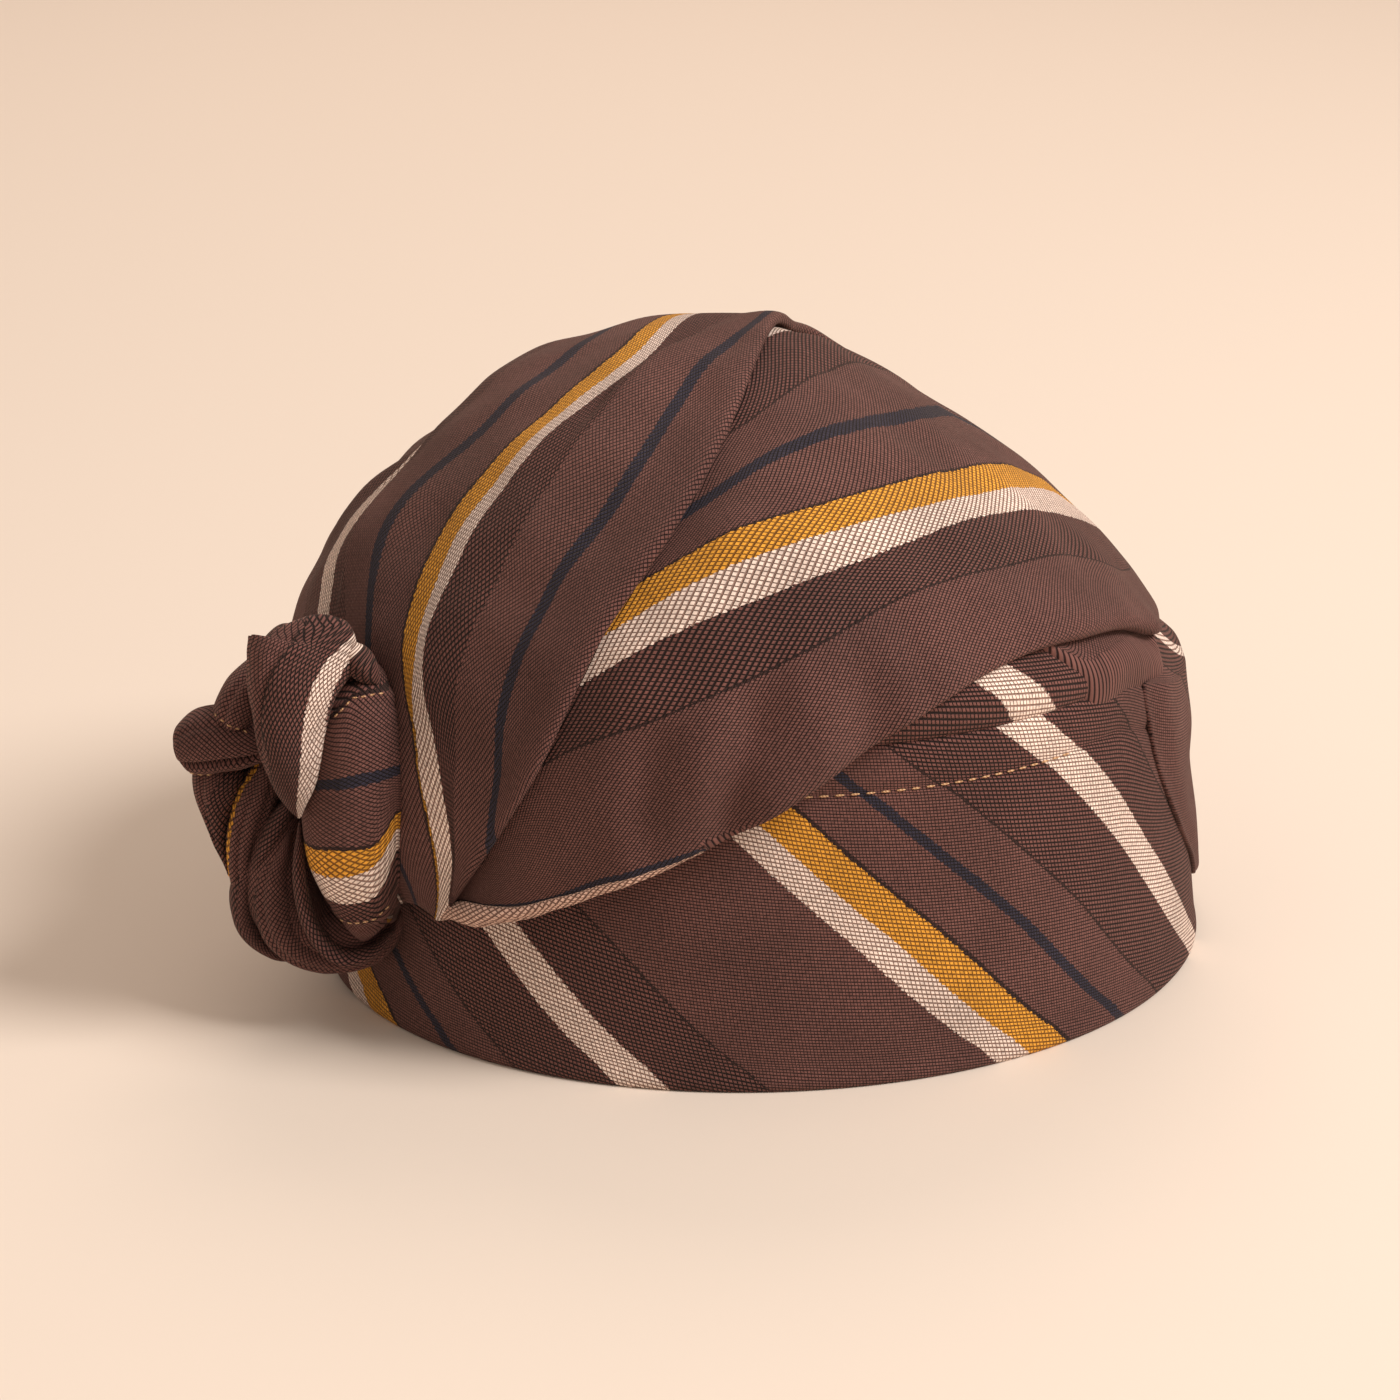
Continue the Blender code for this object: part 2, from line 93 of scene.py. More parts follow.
def between(t: Array, h: Array, values: tuple, slopes: tuple) -> Array:
    """The smooth curve over a step h between two values and slopes, a share t of the way."""
    return ((2 * t**3 - 3 * t**2 + 1) * values[0] + (t**3 - 2 * t**2 + t) * h * slopes[0]
            + (3 * t**2 - 2 * t**3) * values[1] + (t**3 - t**2) * h * slopes[1])


def through(stations: tuple, values: tuple, x: Array) -> Array:
    """Follow the smooth curve through values at rising stations.

    Args:
        stations: Rising places along the curve.
        values: The value at each station, or a row of values.
        x: The places to read.

    Returns:
        The curve's value at each place, held at both ends.
    """
    stations, values = np.asarray(stations, float), np.asarray(values, float)
    slopes = np.gradient(values, stations, axis=0)
    i = np.clip(np.searchsorted(stations, x, side="right") - 1, 0, len(stations) - 2)
    h = stations[i + 1] - stations[i]
    t = np.clip((x - stations[i]) / h, 0.0, 1.0)
    if values.ndim > 1:
        h, t = h[..., None], t[..., None]
    return between(t, h, (values[i], values[i + 1]), (slopes[i], slopes[i + 1]))


def follow(table: tuple, x: Array) -> Array:
    """Follow the smooth curve through rows that each start with their station."""
    rows = np.array(table, float)
    return through(rows[:, 0], rows[:, 1:], x)


def unit(azimuth: Array, elevation: Array) -> Array:
    """Directions at azimuths and elevations in degrees."""
    a, e = np.broadcast_arrays(np.radians(azimuth), np.radians(elevation))
    return np.stack([np.sin(a) * np.cos(e), -np.cos(a) * np.cos(e), np.sin(e)], axis=-1)


def crumple(points: Array, size: float, height: float) -> Array:
    """Soft uneven relief at these points: dents of about this size, this high either way."""
    return height * np.array([noise.noise(Vector(p)) for p in points / size])


@dataclass(frozen=True)
class StripeLines:
    """Where the cloth's stripe lines run over a piece.

    Each line is a measure across the stripes and its place at every station; past the outermost
    lines, a unit of place is spare millimetres of cloth.
    """

    stations: tuple
    lines: dict[float, tuple]
    spare: float = 1.5

    def across(self, along: Array, place: Array) -> Array:
        """The cloth's own measure across its stripes.

        Args:
            along: Each point's place along the stations.
            place: Its place across them, in the same unit as the lines.

        Returns:
            Millimetres across the stripes, straight on past the outermost lines.
        """
        marks = np.array(sorted(self.lines))
        rows = np.stack([through(self.stations, self.lines[m], along) for m in marks])
        if rows[0].mean() > rows[-1].mean():
            marks, rows = marks[::-1], rows[::-1]
        rows = np.maximum.accumulate(rows + np.arange(len(marks))[:, None] * 1e-6, axis=0)
        i = np.clip((place[None] >= rows).sum(axis=0) - 1, 0, len(marks) - 2)
        pick = np.arange(len(place))
        low, high = rows[i, pick], rows[i + 1, pick]
        share = (place - low) / np.maximum(high - low, 1e-3)
        inside = marks[i] + (marks[i + 1] - marks[i]) * np.clip(share, 0.0, 1.0)
        past = np.where(share < 0, place - low, np.where(share > 1, place - high, 0.0))
        return inside + np.sign(marks[-1] - marks[0]) * past * self.spare


# The hat's form

@dataclass
class HatForm:
    """The outside of the wrapped hat, the band under it, and arches from knot to nape.

    Each row of reach is an azimuth, 45 degrees on from the one before, and each column an
    elevation; its values are shares of the half sizes. Tapers are shares of the half sizes too.
    """

    half: tuple[float, float, float] = (88.0, 98.0, 88.0)
    middle: float = 50.0
    elevations: tuple = (-35, -15, 0, 20, 40, 60, 75, 90)
    first_azimuth: float = -18.0
    reach: tuple = (
        (1.24, 1.09, 1.07, 1.09, 1.02, 1.01, 1.015, 0.985),
        (1.22, 1.075, 1.05, 1.06, 1.045, 1.02, 1.005, 0.985),
        (1.24, 1.08, 1.06, 1.09, 1.06, 1.01, 0.99, 0.985),
        (1.24, 1.05, 1.02, 1.01, 0.95, 0.91, 0.92, 0.985),
        (1.18, 0.98, 0.96, 0.90, 0.85, 0.84, 0.89, 0.985),
        (1.20, 0.995, 0.97, 0.92, 0.885, 0.88, 0.915, 0.985),
        (1.26, 1.08, 1.055, 1.065, 1.02, 0.98, 0.97, 0.985),
        (1.28, 1.125, 1.10, 1.12, 1.055, 1.02, 1.005, 0.985),
    )
    knot_pole: tuple[float, float] = (29.1, -16.0)
    nape_pole: tuple[float, float] = (180.0, 21.7)
    band_height: float = 72.0
    band_taper: float = 0.041
    nape_taper: float = 0.060
    nape_dip: float = 9.0

    def column(self, k: Array, azimuth: Array) -> Array:
        """Read the reach table smoothly round the hat.

        Args:
            k: The column for each azimuth.
            azimuth: Azimuths in degrees.

        Returns:
            The table's shares there.
        """
        table = np.array(self.reach)
        count = len(table)
        along = ((azimuth - self.first_azimuth) / (360.0 / count)) % count
        i = np.floor(along).astype(int) % count
        t = along - np.floor(along)
        a, b, c, d = (table[(i + n) % count, k] for n in (-1, 0, 1, 2))
        return 0.5 * (2 * b + (c - a) * t + (2 * a - 5 * b + 4 * c - d) * t**2
                      + (3 * b - a - 3 * c + d) * t**3)

    def share(self, way: Array) -> Array:
        """How far out the hat reaches.

        Args:
            way: Directions from the hat's middle, each one long.

        Returns:
            The outside there, as a share of the half sizes.
        """
        azimuth = np.degrees(np.arctan2(way[..., 0], -way[..., 1]))
        elevation = np.degrees(np.arcsin(np.clip(way[..., 2], -1.0, 1.0)))
        stations = np.array([*self.elevations, *(180 - e for e in self.elevations[-2:-4:-1])], float)
        last = len(self.elevations) - 1
        i = np.clip(np.searchsorted(stations, elevation, side="right") - 1, 1, len(stations) - 3)
        v, x = [], []
        for j in (i - 1, i, i + 1, i + 2):
            over = j > last
            v.append(self.column(np.where(over, 2 * last - j, j), azimuth + 180.0 * over))
            x.append(stations[j])
        slopes = ((v[2] - v[0]) / (x[2] - x[0]), (v[3] - v[1]) / (x[3] - x[1]))
        h = x[2] - x[1]
        return between((elevation - x[1]) / h, h, (v[1], v[2]), slopes)

    def place(self, way: Array, lift: Array | float = 0.0) -> Array:
        """Find points of the hat's outside.

        Args:
            way: Directions from the hat's middle.
            lift: Millimetres outwards.

        Returns:
            The points.
        """
        way = normed(way)
        reach = way * self.share(way)[..., None] * np.array(self.half)
        length = np.linalg.norm(reach, axis=-1, keepdims=True)
        lift = np.broadcast_to(lift, way.shape[:-1])[..., None]
        return np.array([0.0, 0.0, self.middle]) + reach * (1.0 + lift / length)

    def arch(self, share: Array, lean: Array) -> Array:
        """Find directions on the arches that run from the knot over the hat to the nape.

        Args:
            share: Share of the way along.
            lean: How the arch leans in degrees: 0 low on the wearer's left, 90 over the top.

        Returns:
            Directions from the hat's middle.
        """
        start, end = unit(*self.knot_pole), unit(*self.nape_pole)
        middle, chord = (start + end) / 2, end - start
        half = np.linalg.norm(chord) / 2
        along = chord / (2 * half)
        left = normed(np.array([1.0, 0.0, 0.0]) - along[0] * along)
        up = np.cross(left, along)
        up *= np.sign(up[2])
        lean = np.radians(lean)
        out = np.cos(lean)[..., None] * left + np.sin(lean)[..., None] * up
        offset = out @ middle
        hub = middle - offset[..., None] * out
        radius = np.sqrt(1.0 - (hub**2).sum(axis=-1))
        first = np.arctan2(offset, half)
        angle = first + share * (math.pi - 2 * first)
        return hub + radius[..., None] * (np.sin(angle)[..., None] * out - np.cos(angle)[..., None] * along)

    def nape_share(self, azimuth: Array) -> Array:
        """1 at the nape, falling to 0 at the sides."""
        return smooth(-np.cos(np.radians(azimuth)))

    def band_top(self, azimuth: Array) -> Array:
        """The height of the band's top edge, which dips at the nape."""
        return self.band_height - self.nape_dip * smooth(2.5 * self.nape_share(azimuth) - 1.5)

    def on_band(self, azimuth: Array, height: Array, lift: Array | float = 0.0) -> Array:
        """Find points of the band's outside.

        Args:
            azimuth: Azimuths in degrees.
            height: Heights above the foot.
            lift: Millimetres outwards.

        Returns:
            The points.
        """
        flat = unit(azimuth, 0.0)[..., :2]
        half = np.array(self.half[:2])
        taper = self.band_taper + self.nape_taper * self.nape_share(azimuth)
        share = 1.0 - taper * height / self.band_height
        lift = np.broadcast_to(lift, share.shape)[..., None]
        xy = flat * half * share[..., None] + normed(flat / half) * lift
        return np.concatenate([xy, np.broadcast_to(height, share.shape)[..., None]], axis=-1)

    def round_band(self, azimuth: Array) -> Array:
        """Measure round the band's foot.

        Args:
            azimuth: Azimuths from -180 to 180.

        Returns:
            Millimetres from the front.
        """
        marks = np.arange(-180.0, 180.5, 0.5)
        feet = self.on_band(marks, np.zeros_like(marks))
        length = np.concatenate([[0.0], np.cumsum(np.linalg.norm(np.diff(feet, axis=0), axis=1))])
        return np.interp(azimuth, marks, length - length[len(marks) // 2])


# Finishes

def linear(colour: str) -> tuple[float, float, float, float]:
    """An sRGB hex colour as the shader's linear one."""
    parts = [int(colour[i:i + 2], 16) / 255 for i in (1, 3, 5)]
    return (*(c / 12.92 if c <= 0.04045 else ((c + 0.055) / 1.055) ** 2.4 for c in parts), 1.0)


def feed(node: bpy.types.Node, inputs: dict) -> None:
    """Set or link a node's inputs.

    Args:
        node: The node.
        inputs: Values, sockets or nodes by the input's name or number; a node gives its first output.
    """
    for name, value in inputs.items():
        if isinstance(value, bpy.types.Node):
            value = value.outputs[0]
        if isinstance(value, bpy.types.NodeSocket):
            node.id_data.links.new(value, node.inputs[name])
        else:
            node.inputs[name].default_value = value


def add_node(tree: bpy.types.NodeTree, kind: str, inputs: dict | None = None,
             stops: tuple = (), **settings: object) -> bpy.types.Node:
    """Add a node with its settings and links.

    Args:
        tree: The material's node tree.
        kind: The node's type, without the ShaderNode it starts with.
        inputs: What feeds its inputs.
        stops: A colour ramp's places and colours, each held up to the next.
        settings: The node's attributes.

    Returns:
        The new node.
    """
    made = tree.nodes.new("ShaderNode" + kind)
    for name, value in settings.items():
        setattr(made, name, value)
    if stops:
        ramp = made.color_ramp
        ramp.interpolation = "CONSTANT"
        while len(ramp.elements) > 1:
            ramp.elements.remove(ramp.elements[-1])
        ramp.elements[0].position, ramp.elements[0].color = stops[0]
        for place, colour in stops[1:]:
            ramp.elements.new(place).color = colour
    feed(made, inputs or {})
    return made


def mottled(tree: bpy.types.NodeTree, colour: object, patches: dict, span: tuple,
            dimensions: str = "3D") -> bpy.types.NodeSocket:
    """Make a colour darker and lighter in soft patches.

    Args:
        tree: The material's node tree.
        colour: The colour or its socket.
        patches: The noise's inputs.
        span: The noise's low and high, and the colour's share at each.
        dimensions: The noise's dimensions.

    Returns:
        The mottled colour.
    """
    patch = add_node(tree, "TexNoise", patches, noise_dimensions=dimensions)
    tone = add_node(tree, "MapRange", dict(enumerate((patch, *span))))
    grey = add_node(tree, "CombineColor", {0: tone, 1: tone, 2: tone})
    return add_node(tree, "Mix", {0: 1.0, 6: colour, 7: grey}, data_type="RGBA", blend_type="MULTIPLY").outputs[2]


@dataclass(frozen=True)
class Finish:
    """What every finish shares: its name and how its material starts."""

    name: str

    def surface(self, tree: bpy.types.NodeTree, place: bpy.types.NodeSocket) -> dict:
        """The shader's inputs, made from the place on the piece in metres."""
        raise NotImplementedError

    def material(self) -> bpy.types.Material:
        """Make the finish's material, once for all its pieces."""
        made = bpy.data.materials.get(self.name)
        if made is None:
            made = bpy.data.materials.new(self.name)
            made.use_nodes = True
            place = add_node(made.node_tree, "TexCoord").outputs["Object"]
            feed(made.node_tree.nodes["Principled BSDF"], self.surface(made.node_tree, place))
        return made


class Yarn(Enum):
    """The cloth's yarns, a painted shadow line and a white darkened with painted shade: the raised thread's colour, the
    gap's, 1 for long floats, and their thinness.
    """

    PLAIN = ("#78514b", "#241415", 0.0, 0.0)
    TWILL = ("#784f49", "#1b0f0f", 1.0, 0.12)
    WHITE = ("#f8e2d5", "#9a776a", 1.0, 0.0)
    YELLOW = ("#eba63c", "#8d581a", 1.0, 0.0)
    NAVY = ("#33303f", "#0f0d13", 0.0, 0.0)
    # Not a yarn: a painted shadow line where the coarse floated stripes stand above the plain ground
    SHADOW_LINE = ("#3b2624", "#1c1110", 0.0, 0.0)
    # The white stripe on the rolled lip, darkened and warmed with painted shade
    SHADED_WHITE = ("#e8c2b0", "#8d6658", 1.0, 0.0)

    def colours(self) -> tuple[tuple, ...]:
        """The thread's colour, the gap's, and the float's share and thinness as a colour."""
        thread, gap, floats, thin = self.value
        return linear(thread), linear(gap), (floats, thin, 0.0, 1.0)


PLAIN, TWILL, WHITE, YELLOW, NAVY, SHADOW_LINE, SHADED_WHITE = Yarn


@dataclass(frozen=True)
class StripedCloth(Finish):
    """Woven wool and cotton: ribbed brown plain weave with floated white, yellow and brown stripes.

    The floats stand up from the plain ground, so the eye sees rows of small beads at a slant.
    """

    bands: tuple[tuple[float, Yarn], ...]
    repeat: float
    # Threads of such cloth lie about 0.3 mm apart, too fine to show, so crossings are drawn this coarse.
    float_size: tuple[float, float] = (1.6, 0.5)
    plain_size: tuple[float, float] = (1.1, 0.43)

    def lattice(self, tree: bpy.types.NodeTree, split: bpy.types.Node, width: float,
                row: float) -> bpy.types.Node:
        """Staggered thread crossings, each a small lens between two slanting gaps.

        Args:
            tree: The material's node tree.
            split: The cloth map's parts along and across the stripes.
            width: A crossing's width along the stripes in millimetres.
            row: The height of a row of crossings.

        Returns:
            0 in the gaps, rising to 1 on the threads.
        """
        along = add_node(tree, "Math", {0: split.outputs["X"], 1: math.pi / width}, operation="MULTIPLY")
        rise = add_node(tree, "Math", {0: split.outputs["Y"], 1: math.pi / (2 * row)}, operation="MULTIPLY")
        ways = []
        for turn, weight in (("ADD", 1.0), ("SUBTRACT", 1.5)):
            wave = add_node(tree, "Math", {0: along, 1: rise}, operation=turn)
            for change in ("SINE", "ABSOLUTE"):
                wave = add_node(tree, "Math", {0: wave}, operation=change)
            ways.append(add_node(tree, "Math", {0: wave, 1: weight}, operation="MULTIPLY"))
        return add_node(tree, "Math", {0: ways[0], 1: ways[1]}, operation="MINIMUM")

    def surface(self, tree: bpy.types.NodeTree, place: bpy.types.NodeSocket) -> dict:
        """The woven stripes, which follow the piece's own cloth map in millimetres.

        Args:
            tree: The material's node tree.
            place: The place on the piece in metres, for wear and creases.

        Returns:
            The shader's inputs.
        """
        cloth = add_node(tree, "UVMap", uv_map="cloth")
        split = add_node(tree, "SeparateXYZ", {0: cloth})
        ragged = add_node(tree, "TexNoise", {"Vector": cloth, "Scale": 1.7, "Detail": 0.0}, noise_dimensions="2D")
        off = add_node(tree, "Math", {0: ragged, 1: 0.7, 2: -0.35}, operation="MULTIPLY_ADD")
        across = add_node(tree, "Math", {0: split.outputs["Y"], 1: off}, operation="ADD")
        first = self.bands[0][0]
        turns = add_node(tree, "Math", {0: across, 1: 1.0 / self.repeat, 2: -first / self.repeat},
                         operation="MULTIPLY_ADD")
        share = add_node(tree, "Math", {0: turns}, operation="FRACT")
        thread, gap, kind = (
            add_node(tree, "ValToRGB", {0: share},
                     [((start - first) / self.repeat, yarn.colours()[k]) for start, yarn in self.bands])
            for k in range(3))
        coarse, thin = add_node(tree, "SeparateColor", {0: kind}).outputs[:2]
        plain = self.lattice(tree, split, *self.plain_size)
        floats = self.lattice(tree, split, *self.float_size)
        floats = add_node(tree, "Math", {0: floats, 1: thin}, operation="SUBTRACT")
        cell = add_node(tree, "Mix", {0: coarse, 2: plain, 3: floats}, data_type="FLOAT")
        raised = add_node(tree, "MapRange", {0: cell, 1: 0.12, 2: 0.70}, interpolation_type="SMOOTHSTEP")
        woven = add_node(tree, "Mix", {0: raised, 6: gap, 7: thread}, data_type="RGBA").outputs[2]
        spun = mottled(tree, woven, {"Vector": cloth, "Scale": 1.1, "Detail": 1.0}, (0.25, 0.75, 0.8, 1.2), "2D")
        worn = mottled(tree, spun, {"Vector": place, "Scale": 45.0, "Detail": 3.0}, (0.3, 0.7, 0.82, 1.14))
        thick = add_node(tree, "Math", {0: coarse, 1: 1.0}, operation="ADD")
        height = add_node(tree, "Math", {0: raised, 1: thick}, operation="MULTIPLY")
        bump = add_node(tree, "Bump", {"Strength": 1.0, "Distance": 0.00026, "Height": height})
        creased = add_node(tree, "TexNoise", {"Vector": place, "Scale": 160.0, "Detail": 2.0})
        soft = add_node(tree, "Bump", {"Strength": 0.5, "Distance": 0.0006, "Height": creased, "Normal": bump})
        return {"Base Color": worn, "Normal": soft, "Roughness": 0.88, "Specular IOR Level": 0.25,
                "Sheen Weight": 0.10, "Sheen Roughness": 0.45, "Sheen Tint": linear("#e8c9b4")}


@dataclass(frozen=True)
class Lining(Finish):
    """Plain cotton lining: matt and dark, with a fine even weave."""

    name: str = "cotton_lining"
    colour: str = "#4d332d"

    def surface(self, tree: bpy.types.NodeTree, place: bpy.types.NodeSocket) -> dict:
        """The lining's weave, in cells of about 0.6 mm, with faded patches."""
        weave = add_node(tree, "TexVoronoi", {"Vector": place, "Scale": 1800.0}).outputs["Distance"]
        bump = add_node(tree, "Bump", {"Strength": 0.5, "Distance": 0.0001, "Height": weave})
        faded = mottled(tree, linear(self.colour), {"Vector": place, "Scale": 60.0, "Detail": 3.0},
                        (0.3, 0.7, 0.8, 1.15))
        return {"Base Color": faded, "Normal": bump, "Roughness": 0.9, "Sheen Weight": 0.15}


@dataclass(frozen=True)
class SewingThread(Finish):
    """Spun cotton sewing thread: tan, with a slight twist line and a faint shine."""

    name: str = "cotton_thread"
    colour: str = "#e0b98d"
    shade: str = "#a8744a"

    def surface(self, tree: bpy.types.NodeTree, place: bpy.types.NodeSocket) -> dict:
        """The thread's twist, as slanting lines of two tans."""
        twist = add_node(tree, "TexWave", {"Vector": place, "Scale": 900.0},
                         bands_direction="DIAGONAL").outputs["Fac"]
        colour = add_node(tree, "Mix", {0: twist, 6: linear(self.colour), 7: linear(self.shade)}, data_type="RGBA")
        bump = add_node(tree, "Bump", {"Strength": 0.4, "Distance": 0.00006, "Height": twist})
        return {"Base Color": colour.outputs[2], "Normal": bump, "Roughness": 0.6}


@dataclass(frozen=True)
class PaperSweep(Finish):
    """Matt studio paper: one pale warm tone with the faintest fibre."""

    name: str = "studio_paper"
    colour: str = "#ecdfd3"

    def surface(self, tree: bpy.types.NodeTree, place: bpy.types.NodeSocket) -> dict:
        """The paper's fibre, as a very low bump."""
        fibre = add_node(tree, "TexNoise", {"Vector": place, "Scale": 300.0, "Detail": 3.0})
        bump = add_node(tree, "Bump", {"Strength": 0.1, "Distance": 0.0002, "Height": fibre})
        return {"Base Color": linear(self.colour), "Normal": bump, "Roughness": 0.95, "Specular IOR Level": 0.1}


# Meshes

def add_object(name: str, data: object) -> bpy.types.Object:
    """Put a mesh, lamp or camera into the scene as an object.

    Args:
        name: The object's name.
        data: Its mesh, lamp or camera.

    Returns:
        The object, at the origin.
    """
    made = bpy.data.objects.new(name, data)
    bpy.context.scene.collection.objects.link(made)
    return made


def as_mesh(name: str, bm: bmesh.types.BMesh, finish: Finish) -> bpy.types.Mesh:
    """Turn a mesh being edited, which is freed, into a finished one.

    Args:
        name: The mesh's name.
        bm: The mesh being edited.
        finish: Its finish.

    Returns:
        The mesh with its material.
    """
    mesh = bpy.data.meshes.new(name)
    bm.to_mesh(mesh)
    bm.free()
    mesh.materials.append(finish.material())
    return mesh


class Hold(Enum):
    """How a sheet of cloth is held in its place."""

    FOLDED = "folded"
    STRETCHED = "stretched"


@dataclass
class Tailor:
    """Makes cloth meshes at the frame's place and adds them to the scene."""

    shift: tuple[float, float]

    def finish_piece(self, name: str, bm: bmesh.types.BMesh, finish: Finish) -> bpy.types.Object:
        """Turn a mesh in hat millimetres into a dressed object.

        Args:
            name: The piece's name.
            bm: Its mesh, which is freed.
            finish: Its finish, which makes its material.

        Returns:
            The object, riding on the hat's one body.
        """
        for vertex in bm.verts:
            vertex.co = Vector((vertex.co.x + self.shift[0], vertex.co.y + self.shift[1], vertex.co.z)) * MM
        mesh = as_mesh(name, bm, finish)
        mesh.shade_smooth()
        piece = add_object(name, mesh)
        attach(piece, "root")
        return piece

    def grid(self, name: str, columns: int, rows: int, shape: Callable[[Array, Array], tuple[Array, Array]],
             finish: Finish, wall: float, closed: bool = False) -> bpy.types.Object:
        """A cloth sheet drawn out of a plain grid.

        Args:
            name: The piece's name.
            columns: Faces along the sheet.
            rows: Faces across it.
            shape: Gives each grid point its place and its cloth measure in millimetres.
            finish: The piece's finish.
            wall: The cloth's thickness in millimetres.
            closed: Whether the first and last columns meet in a seam.

        Returns:
            The sheet as an object.
        """
        bm = bmesh.new()
        bmesh.ops.create_grid(bm, x_segments=columns, y_segments=rows, size=0.5)
        bm.verts.index_update()
        at = np.array([v.co[:2] for v in bm.verts]) + 0.5
        points, cloth = shape(at[:, 0], at[:, 1])
        self.lay(bm, list(bm.verts), points, cloth)
        if closed:
            bmesh.ops.remove_doubles(bm, verts=bm.verts, dist=1e-3)
        bm.normal_update()
        middle = Vector((0.0, 0.0, 45.0))
        if sum(f.calc_area() * f.normal.dot(f.calc_center_median() - middle) for f in bm.faces) < 0:
            bmesh.ops.reverse_faces(bm, faces=bm.faces)
        piece = self.finish_piece(name, bm, finish)
        solid = piece.modifiers.new("wall", "SOLIDIFY")
        solid.thickness = wall * MM
        solid.offset = 0.0
        return piece

    def lay(self, bm: bmesh.types.BMesh, verts: list, points: Array, cloth: Array) -> None:
        """Move vertices to their points and give their faces the cloth map.

        Args:
            bm: The mesh.
            verts: Its vertices to move.
            points: Their places.
            cloth: Their measures along and across the stripes.
        """
        layer = bm.loops.layers.uv.get("cloth") or bm.loops.layers.uv.new("cloth")
        measure = dict(zip(verts, cloth))
        for face in {f for v in verts for f in v.link_faces}:
            for loop in face.loops:
                loop[layer].uv = measure[loop.vert]
        for vertex, point in zip(verts, points):
            vertex.co = point

    def stitch(self, bm: bmesh.types.BMesh, place: Vector, axes: Matrix, radius: float, stretch: float) -> None:
        """Add one stitch, a bead of thread drawn out along the first axis.

        Args:
            bm: The mesh that the stitch joins.
            place: Its middle.
            axes: Its directions, as columns.
            radius: Half its thickness.
            stretch: Its length as a share of its thickness.
        """
        for vertex in bmesh.ops.create_uvsphere(bm, u_segments=8, v_segments=6, radius=radius)["verts"]:
            x, y, z = vertex.co
            vertex.co = place + axes @ Vector((x * stretch, y, z))


# Stripe orders, millimetres across the stripes

BAND_STRIPES = StripedCloth("striped_band_cloth", (
    (9.7, WHITE), (15.2, YELLOW), (22.4, SHADOW_LINE), (22.9, PLAIN), (33.0, NAVY), (35.0, PLAIN), (44.6, SHADOW_LINE),
    (45.1, TWILL), (60.0, WHITE), (67.5, TWILL), (81.2, SHADOW_LINE), (81.7, PLAIN)), 105.5)
LEFT_STRIPES = StripedCloth("striped_left_wrap_cloth", (
    (-48.0, WHITE), (-42.0, TWILL), (-28.5, SHADOW_LINE), (-28.0, PLAIN), (-15.5, NAVY), (-12.5, PLAIN),
    # From 56 the navy band is a painted shadow line along the crease above the rolled lip, and from 58 the lip's white
    # stripe is darkened with painted shade
    (-0.5, SHADOW_LINE), (0.0, YELLOW), (6.0, WHITE), (12.0, TWILL), (23.5, SHADOW_LINE), (24.0, PLAIN), (56.0, NAVY),
    (58.0, SHADED_WHITE), (69.0, TWILL)), 124.0)
RIGHT_STRIPES = StripedCloth("striped_right_wrap_cloth", (
    (-40.0, PLAIN), (-1.5, NAVY), (1.5, PLAIN), (12.7, SHADOW_LINE), (13.2, TWILL), (23.5, WHITE), (29.5, YELLOW),
    (35.5, SHADOW_LINE), (36.0, PLAIN), (47.5, NAVY), (50.0, PLAIN), (63.2, SHADOW_LINE), (63.7, TWILL), (74.0, WHITE),
    (80.0, TWILL), (90.0, SHADOW_LINE), (90.5, PLAIN), (124.0, WHITE), (130.0, YELLOW), (136.0, SHADOW_LINE),
    (136.5, PLAIN)), 190.0)
INNER_STRIPES = StripedCloth("striped_inner_cloth", ((0.0, TWILL), (28.6, WHITE), (36.2, TWILL)), 70.0)
TONGUE_STRIPES = StripedCloth("striped_tongue_cloth", (
    (-60.0, PLAIN), (34.0, SHADOW_LINE), (34.5, TWILL), (45.0, WHITE), (51.0, TWILL), (62.0, PLAIN)), 180.0)
FRONT_STRIPES = StripedCloth("striped_front_roll_cloth", (
    (-60.0, PLAIN), (-22.0, SHADOW_LINE), (-21.5, TWILL), (-17.0, WHITE), (-11.5, YELLOW), (-7.0, SHADOW_LINE),
    (-6.4, PLAIN), (5.5, NAVY), (7.7, PLAIN), (22.0, SHADOW_LINE), (22.5, TWILL)), 100.0)
TWIST_STRIPES = StripedCloth("striped_twist_cloth", (
    (-40.0, PLAIN), (-5.5, SHADOW_LINE), (-5.0, TWILL), (5.0, WHITE), (10.0, TWILL)), 90.0)
FOLD_STRIPES = StripedCloth("brown_fold_cloth", ((0.0, PLAIN), (60.0, TWILL)), 100.0)
TAIL_STRIPES = StripedCloth("striped_tail_cloth", (
    (-50.0, PLAIN), (-1.0, TWILL), (4.0, YELLOW), (5.0, PLAIN)), 100.0)
UNDER_STRIPES = StripedCloth("striped_under_wrap_cloth", ((-50.0, PLAIN), (0.0, TWILL), (9.0, PLAIN)), 100.0)


# The pieces

@dataclass
class Sheet:
    """What every cloth sheet needs: the hat's form, the tailor and the cloth's thickness."""

    form: HatForm
    tailor: Tailor
    wall: float = 0.9


